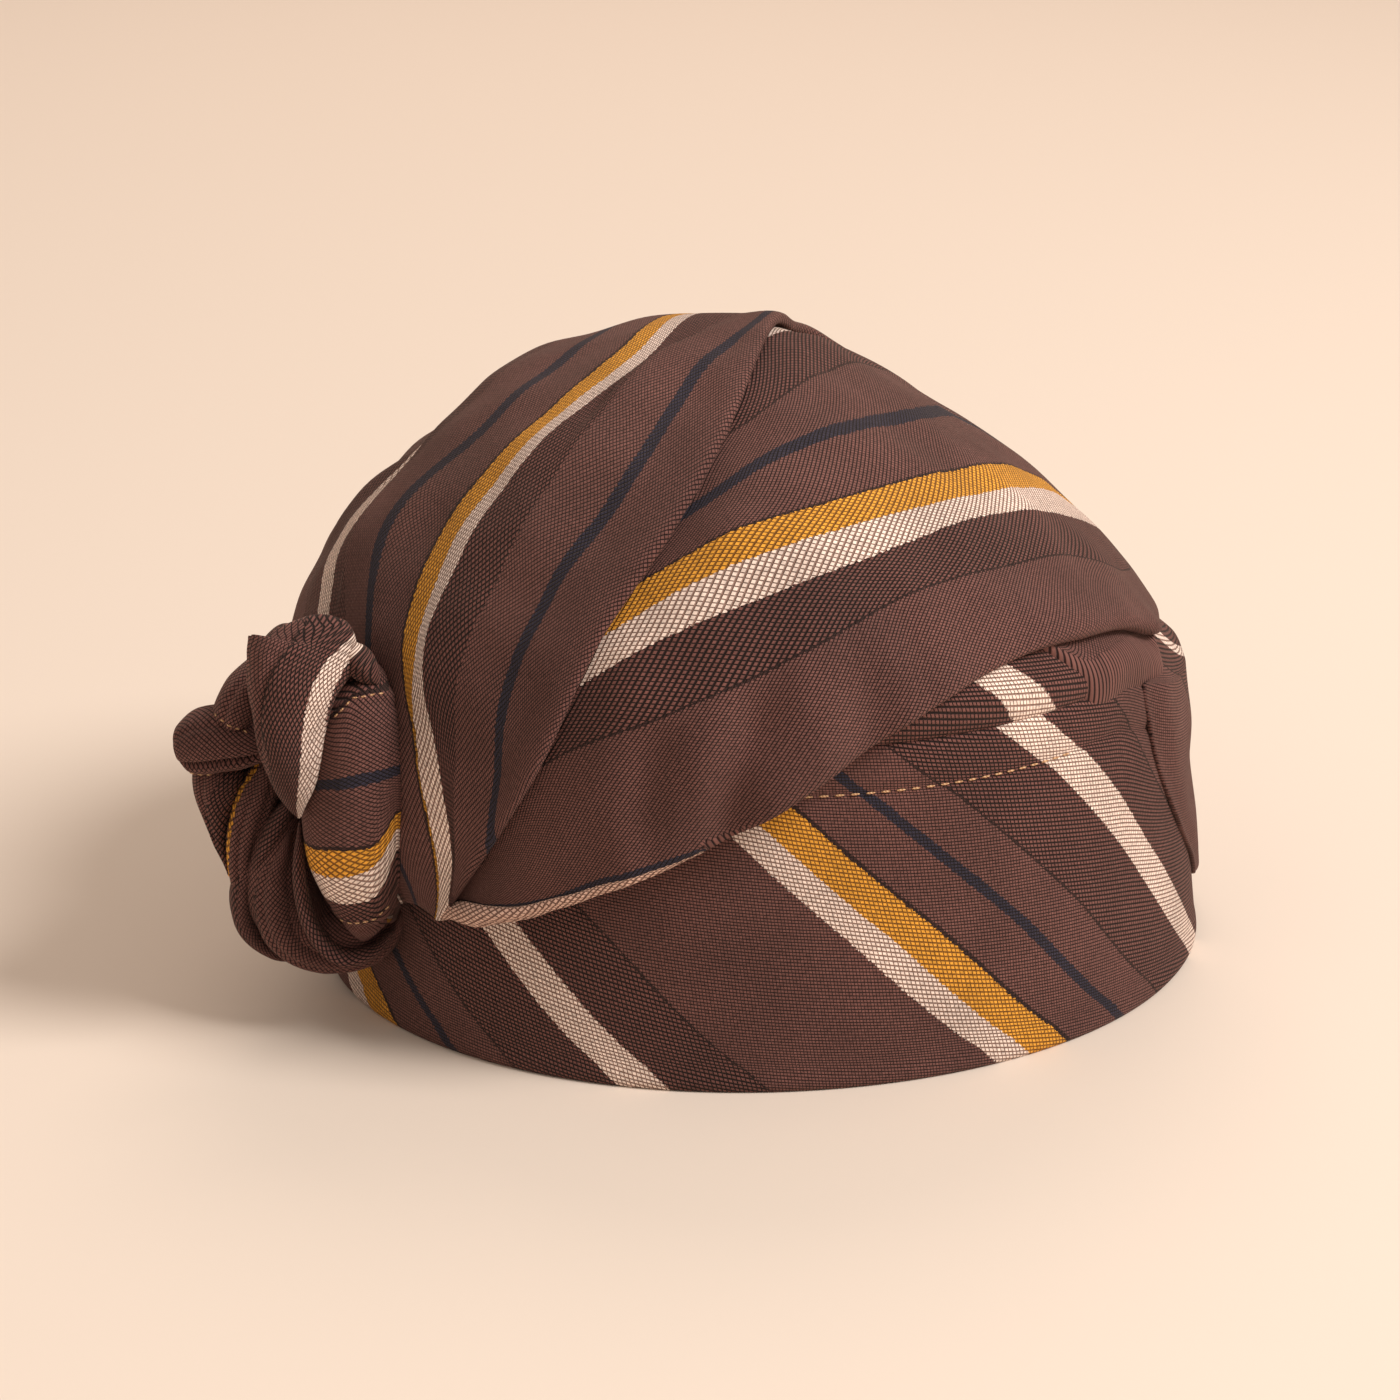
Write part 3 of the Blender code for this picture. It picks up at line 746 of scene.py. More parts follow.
@dataclass
class Wrap(Sheet):
    """What both wraps share: their span from knot to nape and where they cross.

    Stations are shares of the way from knot to nape, and the lines over them are leans.
    """

    start: float = 0.03
    end: float = 0.988
    length: float = 250.0
    stations: tuple = (0.03, 0.10, 0.20, 0.30, 0.40, 0.50, 0.57, 0.63, 0.70, 0.80, 0.975)
    crossing: tuple = (50, 48, 50.5, 58.5, 65, 77, 90, 104, 122, 134, 138)
    face: float = -0.45

    def degree(self, share: Array) -> Array:
        """Millimetres to a degree of lean, fewer where the arches close in on the poles."""
        return 1.6 * np.maximum(0.2, np.sin(math.pi * share))

    def inside_ends(self, share: Array) -> Array:
        """0 where the wrap passes under the knot and the tongue, and 1 between."""
        return smooth((share - self.start) / 0.2) * smooth((self.end - share) / 0.15)

    def at(self, share: Array, lean: Array, lift: Array | float = 0.0) -> Array:
        """Points of the hat's outside on the arches, lifted outwards."""
        return self.form.place(self.form.arch(share, lean), lift)


@dataclass
class LeftWrap(Wrap):
    """The panel over the wearer's left side, its lower edge rolled under.

    The rows of a roll are millimetres past the fold, then how far in over the hat's face and how
    far out the cloth lies.
    """

    low_stations: tuple = (0.03, 0.06, 0.10, 0.15, 0.20, 0.25, 0.30, 0.40, 0.50, 0.57, 0.63, 0.70, 0.80, 0.975)
    low: tuple = (60, 38, 22.5, 18.2, 16.7, 16, 16.5, 19.5, 21, 20, 17.5, 12.5, -2, -3)
    lip_stations: tuple = (0.03, 0.06, 0.09, 0.12, 0.16, 0.25)
    lip: tuple = (5.0, 4.6, 2.8, 1.9, 1.3, 0.0)
    lip_end: float = 0.27
    lip_measures: tuple[float, float] = (58.2, 71.0)
    last_measure: float = 55.0
    tuck: float = 14.0
    under: float = 0.2
    turned: float = 26.0
    roll: tuple = ((0, 0, 0), (1.2, 0.9, -0.35), (2.2, 1.15, -0.95), (3.2, 0.7, -1.7), (4.6, -0.6, -1.9),
                   (12, -7.0, -1.9), (26, -14.0, -2.0))
    nape_roll: tuple = ((0, 0, 0), (1.6, 1.5, -0.6), (3.2, 2.4, -1.9), (4.8, 1.9, -3.6), (6.2, 1.6, -4.6),
                        (8.0, 4.0, -4.4), (12, 9.0, -3.3), (17, 15.0, -3.5), (21, 20.0, -5.0), (26, 26.0, -7.5))
    lines: StripeLines = StripeLines((0.03, 0.10, 0.20, 0.30, 0.40, 0.50, 0.60, 0.70, 0.80, 0.975), {
        -42.0: (116, 110, 103, 93, 88, 84, 97, 115, 136, 152), -28.0: (104, 97, 90, 82, 77, 74.5, 83, 99, 120, 140),
        -14.0: (90, 86, 79, 72, 66, 67, 70, 78, 98, 122), 0.0: (82, 78, 72, 64.5, 59.5, 55.3, 55.3, 58.5, 66, 84),
        6.0: (76, 72, 66, 59.5, 54.3, 50.4, 49, 50.5, 56, 70), 12.0: (70, 66, 61, 53.5, 47.7, 44.5, 44, 43.3, 42.5, 40),
        24.0: (62, 58, 51, 41, 37, 36.8, 33.7, 30, 19, 8), 58.0: (44, 22, 16.5, 14, 12, 11, 8, 3, -8, -20)})

    def rolled_edge(self, share: Array, past: Array, at_nape: Array) -> Array:
        """Roll the lower edge under: a plain roll, fat at the lip, and a slack one near the nape.

        Args:
            share: Share of the way along.
            past: Millimetres past the fold.
            at_nape: The slack roll's share, as a column.

        Returns:
            How far in over the hat's face and how far out the cloth lies, as rows.
        """
        lip = np.maximum(through(self.lip_stations, self.lip, share), 1e-3)
        round_lip = math.pi * np.clip(past / (2.2 * lip), 0.0, 1.0)
        plain = follow(self.roll, np.maximum(past - 2.2 * lip, 0.0))
        plain[:, 0] += lip * (1.0 - np.cos(round_lip)) / 2.0
        seam = 0.8 * np.minimum(lip, 1.0) * np.exp(-((past - 0.6) / 0.8) ** 2)
        plain[:, 1] += 0.45 * lip * np.sin(round_lip) - seam
        return plain * (1 - at_nape) + follow(self.nape_roll, past) * at_nape

    def shape(self, u: Array, v: Array) -> tuple[Array, Array]:
        """The panel's middle face and its cloth measure.

        Args:
            u: Share of the way along, from knot to nape.
            v: Share of the way across, from the turned-under edge to under the right wrap.

        Returns:
            Points, and measures along and across the stripes.
        """
        share = self.start + (self.end - self.start) * u
        degree = self.degree(share)
        low = through(self.low_stations, self.low, share)
        crossing = through(self.stations, self.crossing, share)
        narrow = np.maximum(0.3, np.sin(math.pi * share))
        top = crossing + self.tuck * narrow
        past = np.clip((self.under - v) / self.under, 0.0, 1.0) * self.turned
        at_nape = smooth((share - 0.55) / 0.08) * smooth((0.80 - share) / 0.05)
        profile = self.rolled_edge(share, past, at_nape[:, None])
        inner = np.clip((v - self.under) / (1 - self.under), 0.0, 1.0)
        flat = low + (top - low) * inner
        lean = flat - profile[:, 0] / degree
        over = (lean - crossing) * narrow / 10.0
        raised = 1.2 * self.inside_ends(share)
        dive = (3.0 - raised) * smooth((over + 1.0) / 0.9) + raised * smooth((over + 0.1) / 0.8)
        edge = np.exp(-(((flat - low) * degree) / 9.0) ** 2)
        lift = self.face - dive + profile[:, 1] + (1.5 * at_nape + 0.5) * edge
        swell = 0.54 * np.sin((lean - low) * 0.16 + 6.0 * share) * hump(share, 0.45, 0.4)
        swell *= smooth((crossing - lean) / 14.0) * inner**0.5
        rough = self.at(share, lean)
        dents = crumple(rough * UPRIGHT, 11.0, 4.6) * hump(share, 0.34, 0.26) * smooth((44 - lean) / 14)
        lift = lift + swell + crumple(rough, 13.0, 0.7) + crumple(rough, 30.0, 0.8) + dents
        across = self.lines.across(share, flat - past / degree)
        front, back = self.lip_measures
        across = np.where(share > self.lip_end, np.minimum(across, self.last_measure), across)
        across = np.where((past > 0.4) & (share < self.lip_end), np.clip(front + past * 0.8, front, back), across)
        return self.at(share, lean, lift), np.stack([self.length * share, across], axis=-1)

    def build(self) -> bpy.types.Object:
        """Build and dress the left wrap."""
        piece = self.tailor.grid("left_wrap_cloth", 190, 110, self.shape, LEFT_STRIPES, self.wall)
        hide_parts("left_wrap")
        return piece


@dataclass
class RightWrap(Wrap):
    """The panel over the top and the wearer's right side, with its folded crossing edge and pleats.

    Both edges turn back under over a curl, which is their share of the grid's rows.
    """

    low: tuple = (158, 165, 165, 163.5, 160.5, 159, 160, 172, 179, 180, 180)
    pleat: tuple = (108, 112, 116, 118.5, 119, 124, 128, 134, 140, 146, 150)
    ridge: tuple = (62, 66, 75.5, 81, 87, 94.5, 98.5, 108, 125, 137, 143)
    curl: float = 0.09
    radius: float = 0.75
    turned: float = 6.0
    lines: StripeLines = StripeLines((0.03, 0.10, 0.17, 0.20, 0.30, 0.40, 0.50, 0.60, 0.70, 0.80, 0.975), {
        0.0: (36, 41, 55, 61.3, 70, 75, 86, 99, 124, 135, 139),
        13.0: (39, 60, 71.5, 75.5, 81, 86.3, 94.3, 105, 127, 138, 146),
        23.5: (40, 61.5, 79.5, 85.8, 91, 92.7, 96.8, 112, 130, 141, 150),
        29.5: (51.7, 74.2, 87, 89.3, 94, 95, 99.3, 115, 133, 145, 153),
        35.5: (52, 74.5, 87.3, 92, 98, 98, 102.5, 119, 136, 149, 156),
        49.0: (92, 104, 104, 104, 111, 107, 113, 128, 143, 155, 162),
        63.5: (108, 112, 112, 112, 119, 116, 121, 135, 149, 160, 167),
        74.0: (116, 119, 118, 118, 124, 119, 127, 141, 154, 164, 170),
        80.0: (120, 124, 123, 122.5, 129, 128, 133, 146, 158, 167, 173),
        136.0: (158, 160, 161.4, 162, 163.5, 160.5, 162, 170, 180, 188, 192)})

    def shape(self, u: Array, v: Array) -> tuple[Array, Array]:
        """The panel's middle face and its cloth measure.

        Args:
            u: Share of the way along, from knot to nape.
            v: Share of the way across, from under the crossing edge to under the low edge.

        Returns:
            Points, and measures along and across the stripes.
        """
        share = self.start + (self.end - self.start) * u
        degree = self.degree(share)
        crossing, low, first, second = (
            through(self.stations, line, share) for line in (self.crossing, self.low, self.pleat, self.ridge))
        half_turn = math.pi * self.radius
        near = np.clip((self.curl - v) / self.curl, 0.0, 1.0) * (half_turn + self.turned)
        far = np.clip((v - 1 + self.curl) / self.curl, 0.0, 1.0) * (half_turn + self.turned)
        inner = np.clip((v - self.curl) / (1 - 2 * self.curl), 0.0, 1.0)
        bend = near + far
        angle = np.minimum(bend / self.radius, math.pi)
        out = self.radius * np.sin(angle) - np.maximum(bend - half_turn, 0.0)
        sign = np.where(near > 0, -1.0, 1.0)
        flat = crossing + (low - crossing) * inner
        lean = flat + sign * out / degree
        edge = 1.4 * self.inside_ends(share) * (1.0 - smooth((lean - crossing) / 9.0))
        rise = 2.8 * smooth((share - 0.22) / 0.1) * smooth((0.60 - share) / 0.16) * pleat(lean, first, 18.0, 1.6)
        ridge = 2.0 * hump(share, 0.50, 0.15) * pleat(lean, second, 12.0, 1.8)
        lift = self.face - self.radius * (1.0 - np.cos(angle)) + np.maximum(edge, np.maximum(rise, ridge))
        rough = self.at(share, lean)
        slack = smooth((lean - first) / 14.0) * smooth((low - lean) / 6.0) * hump(share, 0.32, 0.34)
        dents = crumple(rough * UPRIGHT, 12.0, 2.0) * slack
        lift = lift + crumple(rough, 13.0, 0.8) + crumple(rough, 30.0, 0.9) + dents
        across = self.lines.across(share, flat + sign * bend / degree)
        return self.at(share, lean, lift), np.stack([self.length * share, across], axis=-1)

    def build(self) -> bpy.types.Object:
        """Build and dress the right wrap."""
        piece = self.tailor.grid("right_wrap_cloth", 200, 170, self.shape, RIGHT_STRIPES, self.wall)
        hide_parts("right_wrap")
        return piece


@dataclass
class Band(Sheet):
    """The upright band, cut on the bias, with both edges turned in and a stitched top hem.

    The profile's rows are the share of the way across the cloth, the height and the way out.
    """

    slant: float = 1.05
    floor_gap: float = 0.46
    foot_share: float = 0.125
    stitch_height: float = 61.8
    stitch_span: tuple[float, float] = (72.0, 115.0)
    stitch_length: float = 2.0
    stitch_radius: float = 0.22
    stitch_pitch: float = 3.1
    degree: float = 1.63
    profile: tuple = (
        (0.00, 16.0, -1.35), (0.06, 6.0, -1.35), (0.10, 1.4, -1.3), (0.125, 0.5, -0.9), (0.15, 1.2, -0.4),
        (0.20, 5.0, -0.45), (0.45, 32.0, -0.45), (0.66, 56.0, -0.45), (0.70, 60.6, -0.5), (0.715, 61.8, -0.85),
        (0.73, 63.2, -0.3), (0.77, 66.5, 0.15), (0.81, 70.0, 0.1), (0.835, 71.3, -0.35), (0.86, 71.0, -1.1),
        (0.90, 67.0, -1.35), (1.00, 54.0, -1.35))

    def shape(self, u: Array, v: Array) -> tuple[Array, Array]:
        """The band's middle face, from its turned-in foot up and over its top hem.

        Args:
            u: Share of the way round, from the nape.
            v: Share of the way across the cloth.

        Returns:
            Points, and measures along and across the stripes.
        """
        azimuth = -180.0 + 360.0 * u
        height, lift = follow(self.profile, v).T
        height = height * (1 + (self.form.band_top(azimuth) / self.form.band_height - 1) * smooth(height / 60.0))
        base = self.form.on_band(azimuth, height)
        outside = smooth((v - 0.15) / 0.05) * smooth((0.83 - v) / 0.05)
        lift = lift + outside * (crumple(base, 22.0, 0.3) + crumple(base, 9.0, 0.12) * smooth((height - 50) / 12))
        points = self.form.on_band(azimuth, height, lift)
        points[:, 2] = np.maximum(points[:, 2], self.floor_gap)
        marks, heights = np.array(self.profile).T[:2]
        drawn = np.concatenate([[0.0], np.cumsum(np.abs(np.diff(heights)) + 0.3)])
        up = np.interp(v, marks, drawn) - np.interp(self.foot_share, marks, drawn)
        cut = self.form.round_band(azimuth)
        cut = cut - 8.0 * smooth((cut - 130.0) / 80.0) * np.clip(height / 62.0, 0.0, 1.0)
        scale = math.hypot(1.0, self.slant)
        return points, np.stack([(up - self.slant * cut) / scale, (cut + self.slant * up) / scale], axis=-1)

    def stitches(self) -> bpy.types.Object:
        """The row of stitches that holds the top hem, where it shows."""
        bm = bmesh.new()
        for azimuth in np.arange(*self.stitch_span, self.stitch_pitch / self.degree):
            place = self.form.on_band(np.array([azimuth]), np.array([self.stitch_height]), -0.1)[0]
            a = math.radians(azimuth)
            x, y, _ = Vector((math.cos(a) * self.form.half[0], math.sin(a) * self.form.half[1], 0)).normalized()
            axes = Matrix(((x, -y, 0), (y, x, 0), (0, 0, 1)))
            self.tailor.stitch(bm, Vector(place), axes, self.stitch_radius, self.stitch_length / 2 / self.stitch_radius)
        piece = self.tailor.finish_piece("hem_stitches", bm, SewingThread())
        return piece

    def build(self) -> list[bpy.types.Object]:
        """Build and dress the band and its stitches."""
        stitches = self.stitches()
        piece = self.tailor.grid("band_cloth", 300, 84, self.shape, BAND_STRIPES, self.wall, closed=True)
        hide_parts("band")
        return [piece, stitches]


@dataclass
class Crown(Sheet):
    """The inner cap, and the striped inner layer that shows above the hem on the wearer's left."""

    wall: float = 0.8
    inside_wraps: float = -6.0
    inside_band: float = -2.6
    layer_azimuths: tuple[float, float] = (84.0, 40.0)
    layer_heights: tuple[float, float] = (60.0, 32.0)
    layer_slant: float = 1.3
    layer_scale: float = 1.64
    layer_seen_to: float = 71.0

    def cap_shape(self, u: Array, v: Array) -> tuple[Array, Array]:
        """The cap's middle face: inside the band's top, then out under both wraps.

        Args:
            u: Share of the way round, from the nape.
            v: Share of the way up, from the rim to the top.

        Returns:
            Points, and a cloth measure.
        """
        azimuth = -180.0 + 360.0 * u
        points = self.form.place(unit(azimuth, 1.5 + 88.5 * v), self.inside_wraps)
        top = self.form.band_top(azimuth)
        inside = self.form.on_band(azimuth, np.minimum(points[:, 2], top), self.inside_band)
        over = points[:, 2] - top
        wide = np.linalg.norm(points[:, :2], axis=1) > np.linalg.norm(inside[:, :2], axis=1)
        free = np.where(wide, smooth((over - 4.0) / 16.0), smooth(over / 12.0 + 1.0))[:, None]
        points[:, :2] = inside[:, :2] + (points[:, :2] - inside[:, :2]) * free
        return points, np.stack([azimuth * 1.6, v * 120.0], axis=-1)

    def layer_shape(self, u: Array, v: Array) -> tuple[Array, Array]:
        """The inner layer: a turned-in end, and an upper edge hidden by the left wrap.

        Args:
            u: Share of the way along, to the turned-in end.
            v: Share of the way up.

        Returns:
            Points, and measures along and across the stripes.
        """
        turn = np.clip((u - 0.9) / 0.1, 0.0, 1.0)
        height = self.layer_heights[0] + self.layer_heights[1] * v
        azimuth = self.layer_azimuths[0] + self.layer_azimuths[1] * np.minimum(u / 0.9, 1.0)
        hidden = np.maximum(height - self.layer_seen_to, 0.0)
        azimuth = azimuth + 2.0 * np.sin(turn * math.pi / 2) - 0.75 * hidden * u**3
        base = self.form.on_band(azimuth, height)
        low = self.form.on_band(azimuth, np.minimum(height, self.layer_seen_to), -2.2 - 1.5 * turn**2)
        flat = np.degrees(np.arctan2(height - self.form.middle, np.linalg.norm(base[:, :2], axis=1)))
        sink = -2.0 - 0.10 * np.maximum(height - 80.0, 0.0) - 2.0 * turn**2
        high = self.form.place(unit(azimuth, flat), sink + crumple(base, 9.0, 0.25))
        points = low + (high - low) * smooth((height - 69.5) / 9.0)[:, None]
        along = self.form.round_band(azimuth) + 4.0 * turn
        up, across = height - self.layer_slant * along, along + self.layer_slant * height
        return points, np.stack([up / self.layer_scale, across / self.layer_scale - 134.0], axis=-1)

    def build(self) -> list[bpy.types.Object]:
        """Build and dress the cap and the inner layer."""
        cap = self.tailor.grid("crown_lining", 96, 40, self.cap_shape, Lining(), self.wall, closed=True)
        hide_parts("crown")
        layer = self.tailor.grid("inner_layer", 60, 40, self.layer_shape, INNER_STRIPES, self.wall)
        return [cap, layer]


@dataclass
class NapeTongue(Sheet):
    """The tongue of cloth that covers the band's seam and closes the hat at the nape.

    Halves are degrees either side of the nape, at shares of the band's height.
    """

    shares: tuple = (0.06, 0.17, 0.33, 0.60, 0.85, 1.0, 1.12, 1.25)
    halves: tuple = (7, 19, 27.5, 39, 45, 46, 38, 26)
    degree: float = 1.6
    bias: float = 0.7

    def shape(self, u: Array, v: Array) -> tuple[Array, Array]:
        """The tongue's middle face, up the band and in over its top.

        Args:
            u: Share of the way across.
            v: Share of the way up.

        Returns:
            Points, and measures along and across the stripes.
        """
        share = self.shares[0] + (self.shares[-1] - self.shares[0]) * v
        azimuth = 180.0 + (2.0 * u - 1.0) * through(self.shares, self.halves, share)
        top = self.form.band_top(azimuth)
        height = np.minimum(share, 1.0) * (top + 0.5)
        lift = 1.6 + 0.9 * smooth((height - top) / 12.0 + 2.0)
        lift = lift - (lift - 0.55) * smooth((np.abs(2 * u - 1) - 0.86) / 0.13)
        points = self.form.on_band(azimuth, height, lift)
        over = np.clip((share - 1.0) / 0.25, 0.0, 1.0)
        inside = self.form.place(unit(azimuth, 14.0 + 10.0 * over), -4.4)
        points = points + (inside - points) * smooth(over * 1.3)[:, None]
        points = points + normed(points * np.array([1.0, 1.0, 0.0])) * crumple(points, 14.0, 0.4)[:, None]
        along = (azimuth - 180.0) * self.degree * self.bias
        up = share * self.form.band_height * self.bias
        return points, np.stack([up - along, along + up + 20.0], axis=-1)

    def build(self) -> bpy.types.Object:
        """Build and dress the tongue."""
        piece = self.tailor.grid("nape_tongue_cloth", 110, 80, self.shape, TONGUE_STRIPES, self.wall)
        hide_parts("nape_tuck")
        return piece


class Along(Enum):
    """Which way a roll's stripe lines are read."""

    UP = 0
    ACROSS = 1


@dataclass(frozen=True)
class Fold:
    """One padded fold: an oval drawn along a path, with pressed-in creases.

    Rows are across, out and up from the knot's seat, then half the width and half the depth.
    Creases are the angle round the fold, its turn along it, and their width and depth; rings are
    the share along the fold, and their width and depth.
    """

    rows: tuple
    turn: float = 0.0
    fullness: float = 0.34
    creases: tuple = ()
    rings: tuple = ()


@dataclass(frozen=True)
class Roll:
    """One piece of the knot: its folds, the stripes over them, and how much deeper they reach inwards.

    Without lines, the cloth follows each fold's own length and girth.
    """

    name: str
    node: str
    folds: tuple[Fold, ...]
    stripes: StripedCloth
    lines: StripeLines | None = None
    along: Along = Along.UP
    depth: float = 1.0


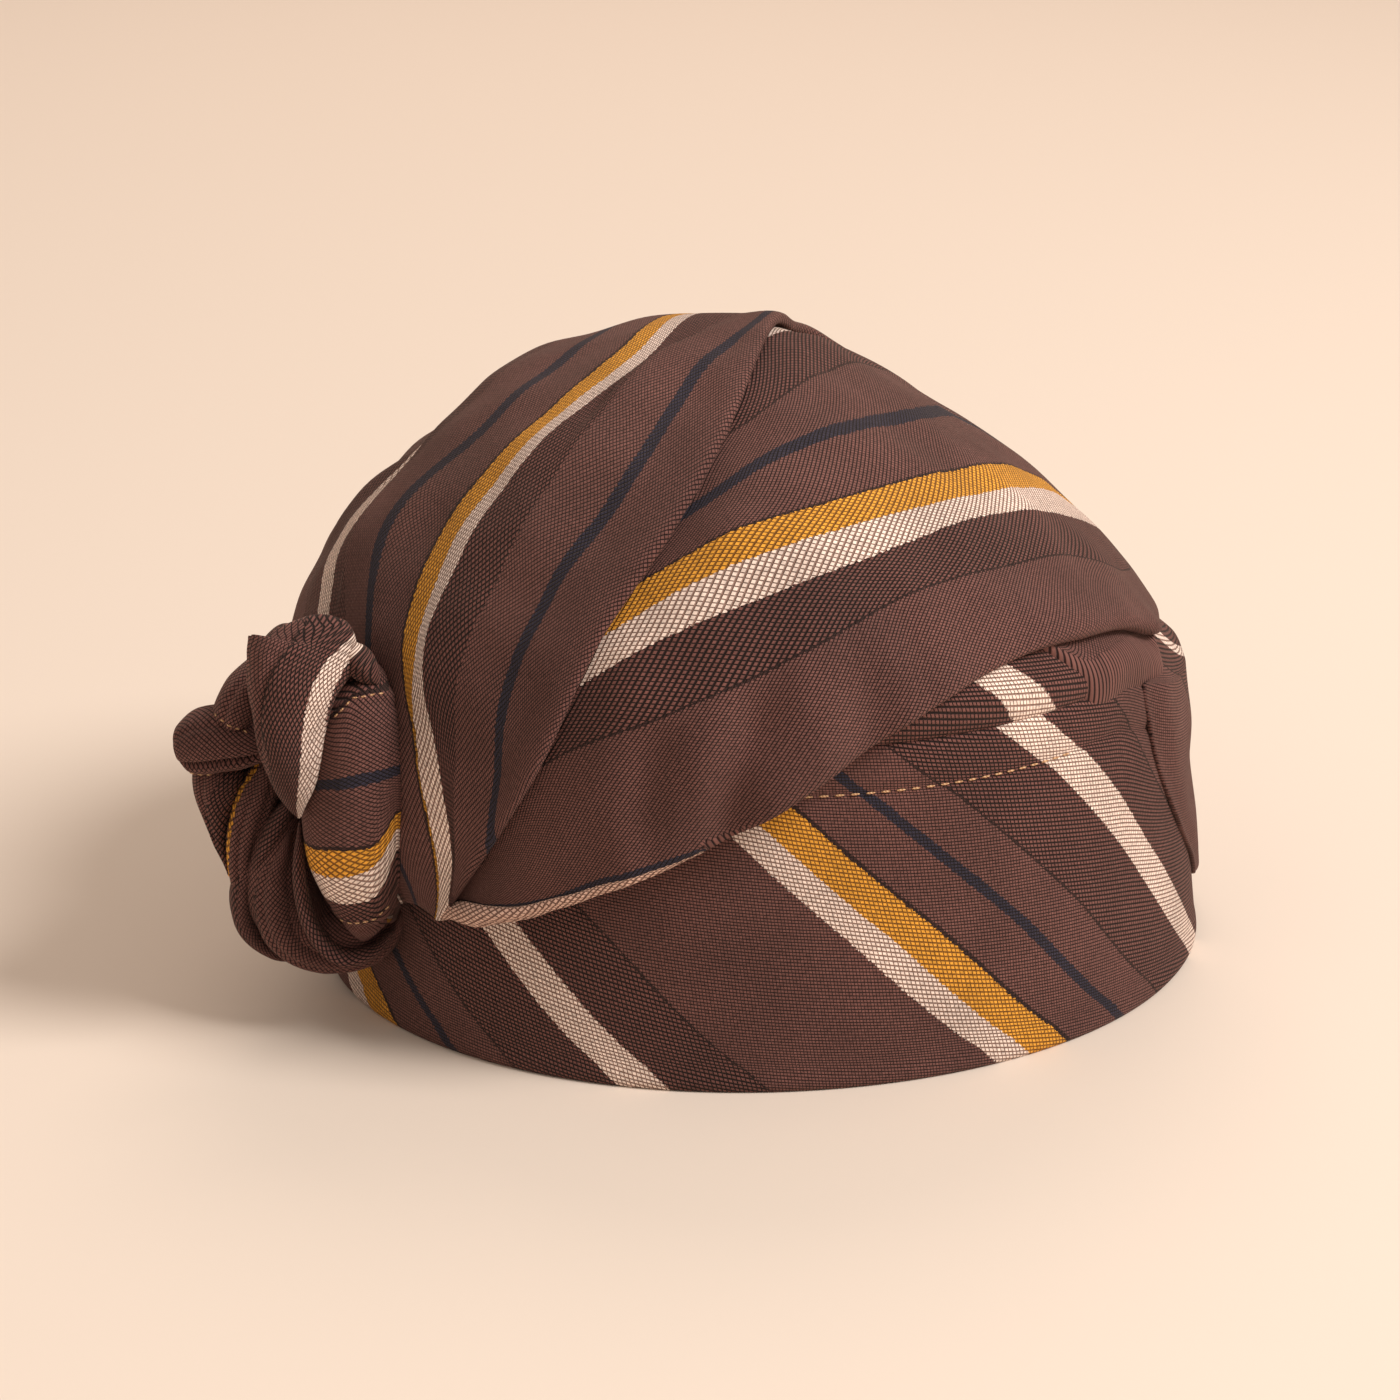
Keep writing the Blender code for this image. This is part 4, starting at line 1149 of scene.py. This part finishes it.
@dataclass
class Knot:
    """The knotted roll at the front: padded folds seated on the wraps.

    Threads are rows of stitches, as places across and up. Rolls start with the one nearest the
    wearer's left ear.
    """

    form: HatForm
    tailor: Tailor
    azimuth: float = 8.0
    facing: float = 72.0
    coarse_dents: tuple[float, float] = (7.0, 0.35)
    fine_dents: tuple[float, float] = (3.2, 0.15)
    stitch_pitch: float = 1.7
    stitch_radius: float = 0.2
    stitch_stretch: float = 2.9
    threads: tuple = (
        ((-19.6, 18.0), (-16.0, 16.6), (-12.0, 14.6)), ((-25.0, 5.4), (-22.0, 4.9), (-19.5, 4.8)),
        ((6.6, 22.6), (10.2, 26.2), (14.6, 26.7), (18.0, 26.2)),
        ((1.6, -19.6), (3.8, -21.8), (8.1, -22.2), (13.1, -21.2), (16.0, -18.8)))
    rolls: tuple[Roll, ...] = (
        Roll("front_roll_cloth", "knot_front_roll", (
            Fold(((12.8, 15.4, 31, 3, 4), (12.4, 15.8, 29, 6, 6), (11.6, 16.6, 25.8, 7.8, 7.5),
                  (11, 18.5, 21.5, 9, 8.4), (10.6, 19.3, 15.5, 10.2, 8.8), (10.2, 19.5, 9, 11, 9),
                  (10, 19.5, 2, 11.5, 9.1), (9.8, 19.5, -5, 11.8, 9.1), (9.9, 19.3, -12, 11.3, 9),
                  (10.2, 18.8, -18.5, 9.8, 8.6), (10.2, 18, -24, 7.4, 7.8),
                  (9.9, 17, -28.8, 3.6, 5)), rings=((0.25, 0.012, 0.6), (0.88, 0.012, 1), (0.83, 0.01, 0.4))),),
            FRONT_STRIPES, StripeLines((0, 6, 9.5, 15, 18), {
                22: (18, 22.2, 25.6, 26.8, 26.2), 6.6: (8, 9.2, 10, 10.6, 10.6), -7: (-6.2, -4.8, -4.6, -3, 2),
                -11.5: (-12, -11.4, -10.6, -7, -1.5), -17: (-17.6, -17.6, -17.2, -14, -6),
                -22: (-19, -22, -22.4, -20, -13)}, 1.0), Along.ACROSS, depth=1.3),
        Roll("twist_cloth", "knot_twist", (
            Fold(((-1.2, 18.8, 40.8, 8, 4), (-0.4, 19.2, 38.6, 11.4, 6.6), (0.3, 20, 35.8, 12.4, 8.6),
                  (-0.6, 21.6, 32.8, 11.2, 9.3), (-1.6, 23, 28.8, 9.4, 9.5), (-2.2, 23.8, 24, 8.1, 9.3),
                  (-2.4, 24.3, 18.8, 7, 9), (-2.2, 24.5, 13.5, 6.3, 8.4), (-1.9, 24.5, 8.3, 5, 7),
                  (-1.6, 24.3, 4.2, 2.8, 4.5), (-1.2, 24, 0.8, 0.6, 1.5)),
                 fullness=0.24, creases=((46, -100, 5, 1.1), (12, 0, 6, 0.6))),
            Fold(((8.5, 20, 36.5, 2.4, 4), (10.5, 20.4, 34, 3.4, 4.6), (12.3, 19.8, 31, 2.9, 4),
                  (13.8, 18.8, 28.5, 1.7, 2.6), (14.6, 18, 26.5, 0.5, 1)), turn=15.0)),
            TWIST_STRIPES, StripeLines((-1, 5, 9, 16, 23, 28, 32, 35, 38, 41), {
                -5.2: (-6.5, -6.2, -6, -6, -7.3, -6.8, -5.6, -4, -1.8, 1),
                5: (-1.6, -1.2, -0.6, 0.4, 1.2, 2.2, 3.6, 5.6, 9.5, 15),
                10: (-0.4, 1.2, 3.2, 4.2, 4.9, 6.3, 8.2, 10.5, 15, 20)}, 1.0)),
        Roll("hem_fold_cloth", "knot_hem_fold", (
            Fold(((-7.5, 4, 30, 2.6, 3.5), (-10.5, 6, 25.5, 3.8, 5), (-13.8, 7.5, 20.5, 4.8, 5.8),
                  (-16, 8.5, 15.5, 5.2, 6), (-17, 9, 11, 4.5, 5)), creases=((60, 20, 9, 0.8),)),
            Fold(((-7, 10.5, 12, 4.5, 5), (-12.5, 10, 11.5, 6, 6), (-18, 9.2, 11.2, 6.7, 6.4),
                  (-22.5, 8.6, 10.4, 6.6, 6.2), (-25.8, 8.2, 9.6, 5.9, 5.4), (-27.6, 8, 9, 4.8, 4.4)),
                 fullness=0.18, creases=((114, 0, 9, 3.6), (40, 10, 6, 0.6)))), FOLD_STRIPES, depth=1.6),
        Roll("tail_cloth", "knot_tail", (
            Fold(((-19, 6.5, 7, 6.2, 4.5), (-19.6, 6.5, 4, 6.6, 5), (-20.6, 6.5, -1, 4.9, 5),
                  (-20.2, 6.5, -8.5, 2.6, 4),
                  (-19.3, 6.8, -14, 1.6, 3), (-18.6, 7, -19, 0.6, 1)), creases=((60, 20, 9, 0.9),)),
            Fold(((-8.5, 8, 8, 4.5, 5.5), (-11, 8.5, 1, 5.4, 6), (-13.6, 8.8, -6, 4.9, 6), (-15, 8.8, -12.5, 4, 5.5),
                  (-15.2, 8.6, -18.4, 3.3, 5), (-14.5, 8.4, -24, 3, 4.4), (-13.2, 8.3, -29, 2.2, 3.4),
                  (-11, 8.3, -33, 0.8, 1.5)), creases=((80, 30, 8, 1), (125, 10, 9, 1)))),
            TAIL_STRIPES, StripeLines((-20, -8.5, 0, 6), {
                4: (-19.2, -18.4, -16.4, -12.6), 5: (-18.2, -17.3, -15.2, -11.4)}, 1.0), depth=1.6),
        Roll("under_wrap_cloth", "knot_under_wrap", (
            Fold(((-4.5, 9.5, -2, 5, 5.5), (-7, 11, -8, 7.5, 6.5), (-8, 11.3, -15, 8.3, 7),
                  (-7.8, 11, -21.5, 8.2, 7.2), (-5.5, 10.8, -26, 8, 7.2), (-1.5, 10.8, -29, 7.6, 7.2),
                  (3.5, 10.8, -29.5, 7.5, 7.2),
                  (8.5, 10.8, -28.5, 7.2, 7), (13, 10.5, -25, 6.3, 6.5), (16, 10, -19, 4, 5))),
            Fold(((-4.5, 13, -6, 1.5, 3), (-6, 13.5, -9.5, 3, 4.5), (-8.2, 14, -16, 4.8, 5.5),
                  (-8.3, 14, -22.5, 5.2, 5.8), (-6.3, 13.8, -28.5, 5.1, 5.8), (-1.5, 13.5, -32.8, 4.2, 5.4),
                  (5.8, 13.5, -34.4, 3.3, 5),
                  (12.6, 13.2, -32.2, 3, 4.6), (16.8, 13, -27, 2.6, 4), (18.3, 12.8, -22, 1.2, 2.4)),
                 creases=((70, 20, 8, 0.7),)),
            Fold(((-8.2, 9, -3.5, 2, 3.5), (-12.5, 9.5, -12, 2.4, 4.5), (-15.2, 10, -19.5, 2.9, 5),
                  (-15.2, 10, -26, 2.9, 5),
                  (-13, 10, -31, 2.5, 4.6), (-9, 10, -34.6, 1.9, 4), (-4, 10, -36.6, 1, 2.5))),
            Fold(((-2, 18.5, -2, 1, 1.5), (-2.4, 20, -9, 1.4, 2.4), (-2.2, 20.8, -16, 1.5, 2.6),
                  (-0.9, 21, -23, 1.5, 2.6), (2.2, 20.5, -28.8, 1.5, 2.6), (6.6, 20, -31.8, 1.5, 2.5),
                  (12.3, 19, -30.6, 1.4, 2.4), (16.2, 17.5, -26.5, 1, 1.8))),
            Fold(((-4.5, 12, -0.5, 2.2, 3), (-8, 12.5, -6.5, 2.3, 3.5), (-11.2, 12.5, -12.5, 1.8, 3.4),
                  (-13, 12, -19, 1.2, 2.6)))), UNDER_STRIPES, depth=1.55),
        Roll("far_roll_cloth", "knot_far_roll", (
            Fold(((-4.5, -7, 30.5, 6.5, 6), (-7.5, -10, 23, 10.5, 7.5), (-9.3, -11.5, 10.5, 12.6, 8.6),
                  (-10, -11.5, -1.5, 12.6, 9.3), (-9.3, -10.8, -13.5, 11.5, 9.3), (-6.5, -8, -24.5, 8.3, 7.5)),
                 turn=-100.0, creases=((50, 40, 9, 1), (110, -50, 8, 1.2))),),
            FRONT_STRIPES, StripeLines((-30, 10), {-17: (-12, -6), 20: (20, 26)}, 1.0), Along.ACROSS))

    def axes(self) -> tuple[Array, Array, Array]:
        """The knot's seat on the hat, and its directions across and out."""
        seat = self.form.place(unit(np.array([self.azimuth]), np.array([0.0])))[0]
        return seat, unit(self.facing + 90.0, 0.0), unit(self.facing, 0.0)

    def draw(self, bm: bmesh.types.BMesh, fold: Fold, roll: Roll) -> None:
        """Draw a sphere out along a fold's path and press its creases in.

        Args:
            bm: The mesh that the fold joins.
            fold: Its path, sections and creases.
            roll: The piece it belongs to, for its stripes and depth.
        """
        seat, across, out = self.axes()
        ways = np.stack([across, out, np.array([0.0, 0.0, 1.0])])
        table = np.array(fold.rows, float)
        stations = np.linspace(0.0, 1.0, len(table))
        verts = bmesh.ops.create_uvsphere(bm, u_segments=72, v_segments=90, radius=1.0)["verts"]
        co = np.array([v.co for v in verts])
        turn = np.arctan2(co[:, 1], co[:, 0])
        polar = np.arccos(np.clip(co[:, 2], -1.0, 1.0))
        share = polar / math.pi
        row = through(stations, table, share)
        row[:, 1] -= (roll.depth - 1.0) * row[:, 4]
        row[:, 4] *= roll.depth
        step = (through(stations, table, np.minimum(1.0, share + 0.02))
                - through(stations, table, np.maximum(0.0, share - 0.02)))
        path = normed(step[:, :3] @ ways)
        face = math.cos(math.radians(fold.turn)) * out + math.sin(math.radians(fold.turn)) * across
        side = normed(np.cross(path, face))
        section = side * np.cos(turn)[:, None], np.cross(side, path) * np.sin(turn)[:, None]
        ends = np.maximum(np.sin(polar), 0.0)
        centre = seat + row[:, :3] @ ways
        skin = centre + section[0] * row[:, 3:4] + section[1] * row[:, 4:5]
        press = -crumple(skin, *self.coarse_dents) - crumple(skin * UPRIGHT, *self.fine_dents)
        for where, twist, wide, cut in fold.creases:
            line = math.radians(where) + math.radians(twist) * (share - 0.5)
            gap = (turn - line + math.pi) % (2 * math.pi) - math.pi
            press += cut * np.exp(-(gap / math.radians(wide)) ** 2) * smooth(ends * 2.0)
        for where, wide, cut in fold.rings:
            press += cut * np.exp(-((share - where) / wide) ** 2)
        lie = section[0] * (row[:, 3] - press)[:, None] + section[1] * (row[:, 4] - press)[:, None]
        lie *= ends[:, None] ** fold.fullness
        points = centre + lie
        run, girth = self.unrolled(table, turn, share)
        aside, height = (points - seat) @ across, (points - seat)[:, 2]
        if roll.lines is None:
            cloth = run, girth
        elif roll.along is Along.UP:
            behind = np.sign(lie @ across) * np.maximum(-(lie @ out), 0.0)
            cloth = run, roll.lines.across(height, aside) + behind
        else:
            cloth = girth, roll.lines.across(aside, height)
        self.tailor.lay(bm, verts, points, np.stack(cloth, axis=-1))

    def unrolled(self, table: Array, turn: Array, share: Array) -> tuple[Array, Array]:
        """Unroll a fold's skin.

        Args:
            table: The fold's rows.
            turn: Angles round the fold.
            share: Shares of the way along it.

        Returns:
            Millimetres along the fold and round it.
        """
        marks = np.linspace(0.0, 1.0, 60)
        walk = through(np.linspace(0.0, 1.0, len(table)), table[:, :3], marks)
        run = np.concatenate([[0.0], np.cumsum(np.linalg.norm(np.diff(walk, axis=0), axis=1))])
        return np.interp(share, marks, run), ((turn + math.pi / 2) % (2 * math.pi)) * table[:, 3:].mean()

    def stitches(self, pieces: list[bpy.types.Object]) -> bpy.types.Object:
        """Sew the rows of stitches that show on the knot.

        Args:
            pieces: The knot's pieces, which the stitches lie on.

        Returns:
            All the stitches as one object.
        """
        seat, across, out = self.axes()
        shift = np.array([*self.tailor.shift, 0.0])
        trees = [BVHTree.FromPolygons([v.co / MM for v in p.data.vertices], [q.vertices[:] for q in p.data.polygons])
                 for p in pieces]
        bm = bmesh.new()
        for row in self.threads:
            marks = np.array(row)
            steps = np.concatenate([[0.0], np.cumsum(np.linalg.norm(np.diff(marks, axis=0), axis=1))])
            for at in np.arange(0.5, steps[-1], self.stitch_pitch):
                ends = []
                for d in (-0.1, 0.1):
                    x, z = (np.interp(at + d, steps, marks[:, k]) for k in (0, 1))
                    start = seat + shift + across * x + out * 70.0 + np.array([0.0, 0.0, z])
                    hits = [t.ray_cast(Vector(start), Vector(-out)) for t in trees]
                    hits = [h for h in hits if h[0] is not None]
                    if hits:
                        ends.append(min(hits, key=lambda h: h[3])[0])
                if len(ends) == 2:
                    turn = (ends[1] - ends[0]).normalized().to_track_quat("X", "Z")
                    self.tailor.stitch(bm, ends[0] - Vector(shift), turn.to_matrix(), self.stitch_radius,
                                       self.stitch_stretch)
        piece = self.tailor.finish_piece("knot_stitches", bm, SewingThread())
        return piece

    def build(self) -> list[bpy.types.Object]:
        """Build and dress every piece of the knot and its stitches."""
        made = []
        for roll in self.rolls:
            bm = bmesh.new()
            for fold in roll.folds:
                self.draw(bm, fold, roll)
            bm.normal_update()
            if bm.calc_volume(signed=True) < 0:
                bmesh.ops.reverse_faces(bm, faces=bm.faces)
            piece = self.tailor.finish_piece(roll.name, bm, roll.stripes)
            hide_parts(roll.node)
            made.append(piece)
        return made + [self.stitches(made)]


@dataclass
class Studio:
    """The pale floor, the soft lights and the camera.

    Lamps are a name, the place it looks at, its azimuth, elevation and distance, its size in
    metres, its power and its colour.
    """

    shift: tuple[float, float]
    azimuth: float = 72.0
    elevation: float = 19.1
    distance: float = 0.727
    target: tuple[float, float, float] = (-5.4, -13.5, 52.0)
    lens: float = 85.0
    sensor: float = 36.0
    lamps: tuple = (
        ("key_lamp", (0.0, 0.0, 0.06), 138.0, 44.0, 2.2, 0.9, 44.0, "#fff8f1"),
        ("fill_lamp", (0.0, 0.0, 0.06), 20.0, 40.0, 2.6, 2.0, 5.0, "#ffeddc"),
        ("sweep_lamp", (-1.2, 0.4, 0.0), 252.0, 75.0, 1.9, 1.6, 17.0, "#ffe8d6"))
    room_light: tuple[str, float] = ("#f9e8d8", 0.42)

    def hang(self, name: str, data: object, aim: tuple, azimuth: float, elevation: float,
             away: float) -> bpy.types.Object:
        """Hang a lamp or the camera so that it looks at a place.

        Args:
            name: The object's name.
            data: The lamp or camera.
            aim: The place, in metres.
            azimuth: The object's azimuth from there in degrees.
            elevation: Its elevation.
            away: Its distance in metres.

        Returns:
            The object.
        """
        back = Vector(unit(azimuth, elevation))
        made = add_object(name, data)
        made.location = Vector(aim) + back * away
        made.rotation_mode = "QUATERNION"
        made.rotation_quaternion = (-back).to_track_quat("-Z", "Y")
        return made

    def floor(self) -> None:
        """Lay the studio paper."""
        bm = bmesh.new()
        bmesh.ops.create_grid(bm, x_segments=8, y_segments=8, size=6.0)
        piece = add_object("studio_floor", as_mesh("studio_floor", bm, PaperSweep()))

    def camera(self) -> None:
        """Set the camera at the photograph's angle."""
        data = bpy.data.cameras.new("camera")
        data.lens, data.sensor_width = self.lens, self.sensor
        aim = (np.array(self.target) + np.array([*self.shift, 0.0])) * MM
        bpy.context.scene.camera = self.hang("camera", data, aim, self.azimuth, self.elevation, self.distance)

    def build(self) -> None:
        """Set up the floor, the lamps, the room's light and the camera."""
        self.floor()
        self.camera()
        for name, aim, azimuth, elevation, away, size, power, colour in self.lamps:
            data = bpy.data.lights.new(name, "AREA")
            data.shape, data.size, data.energy = "DISK", size, power
            data.color = linear(colour)[:3]
            self.hang(name, data, aim, azimuth, elevation, away)
        world = bpy.data.worlds.new("studio")
        world.use_nodes = True
        feed(world.node_tree.nodes["Background"], {"Color": linear(self.room_light[0]), "Strength": self.room_light[1]})
        bpy.context.scene.world = world
        bpy.context.scene.view_settings.view_transform = "Standard"


def main() -> None:
    """Build the hat's pieces and the studio, and report each piece."""
    logging.basicConfig(level=logging.INFO, format="%(message)s")
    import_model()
    low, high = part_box("band")
    shift = ((low[0] + high[0]) / 2 / MM, (low[1] + high[1]) / 2 / MM)
    form, tailor = HatForm(), Tailor(shift)
    Studio(shift).build()
    made = Band(form, tailor).build() + Crown(form, tailor).build()
    made += [LeftWrap(form, tailor).build(), RightWrap(form, tailor).build(), NapeTongue(form, tailor).build()]
    made += Knot(form, tailor).build()
    for piece in made:
        area = sum(p.area for p in piece.data.polygons)
        log.info("%s: %d faces, %.0f cm2", piece.name, len(piece.data.polygons), area * 1e4)


if __name__ == "__main__":
    main()
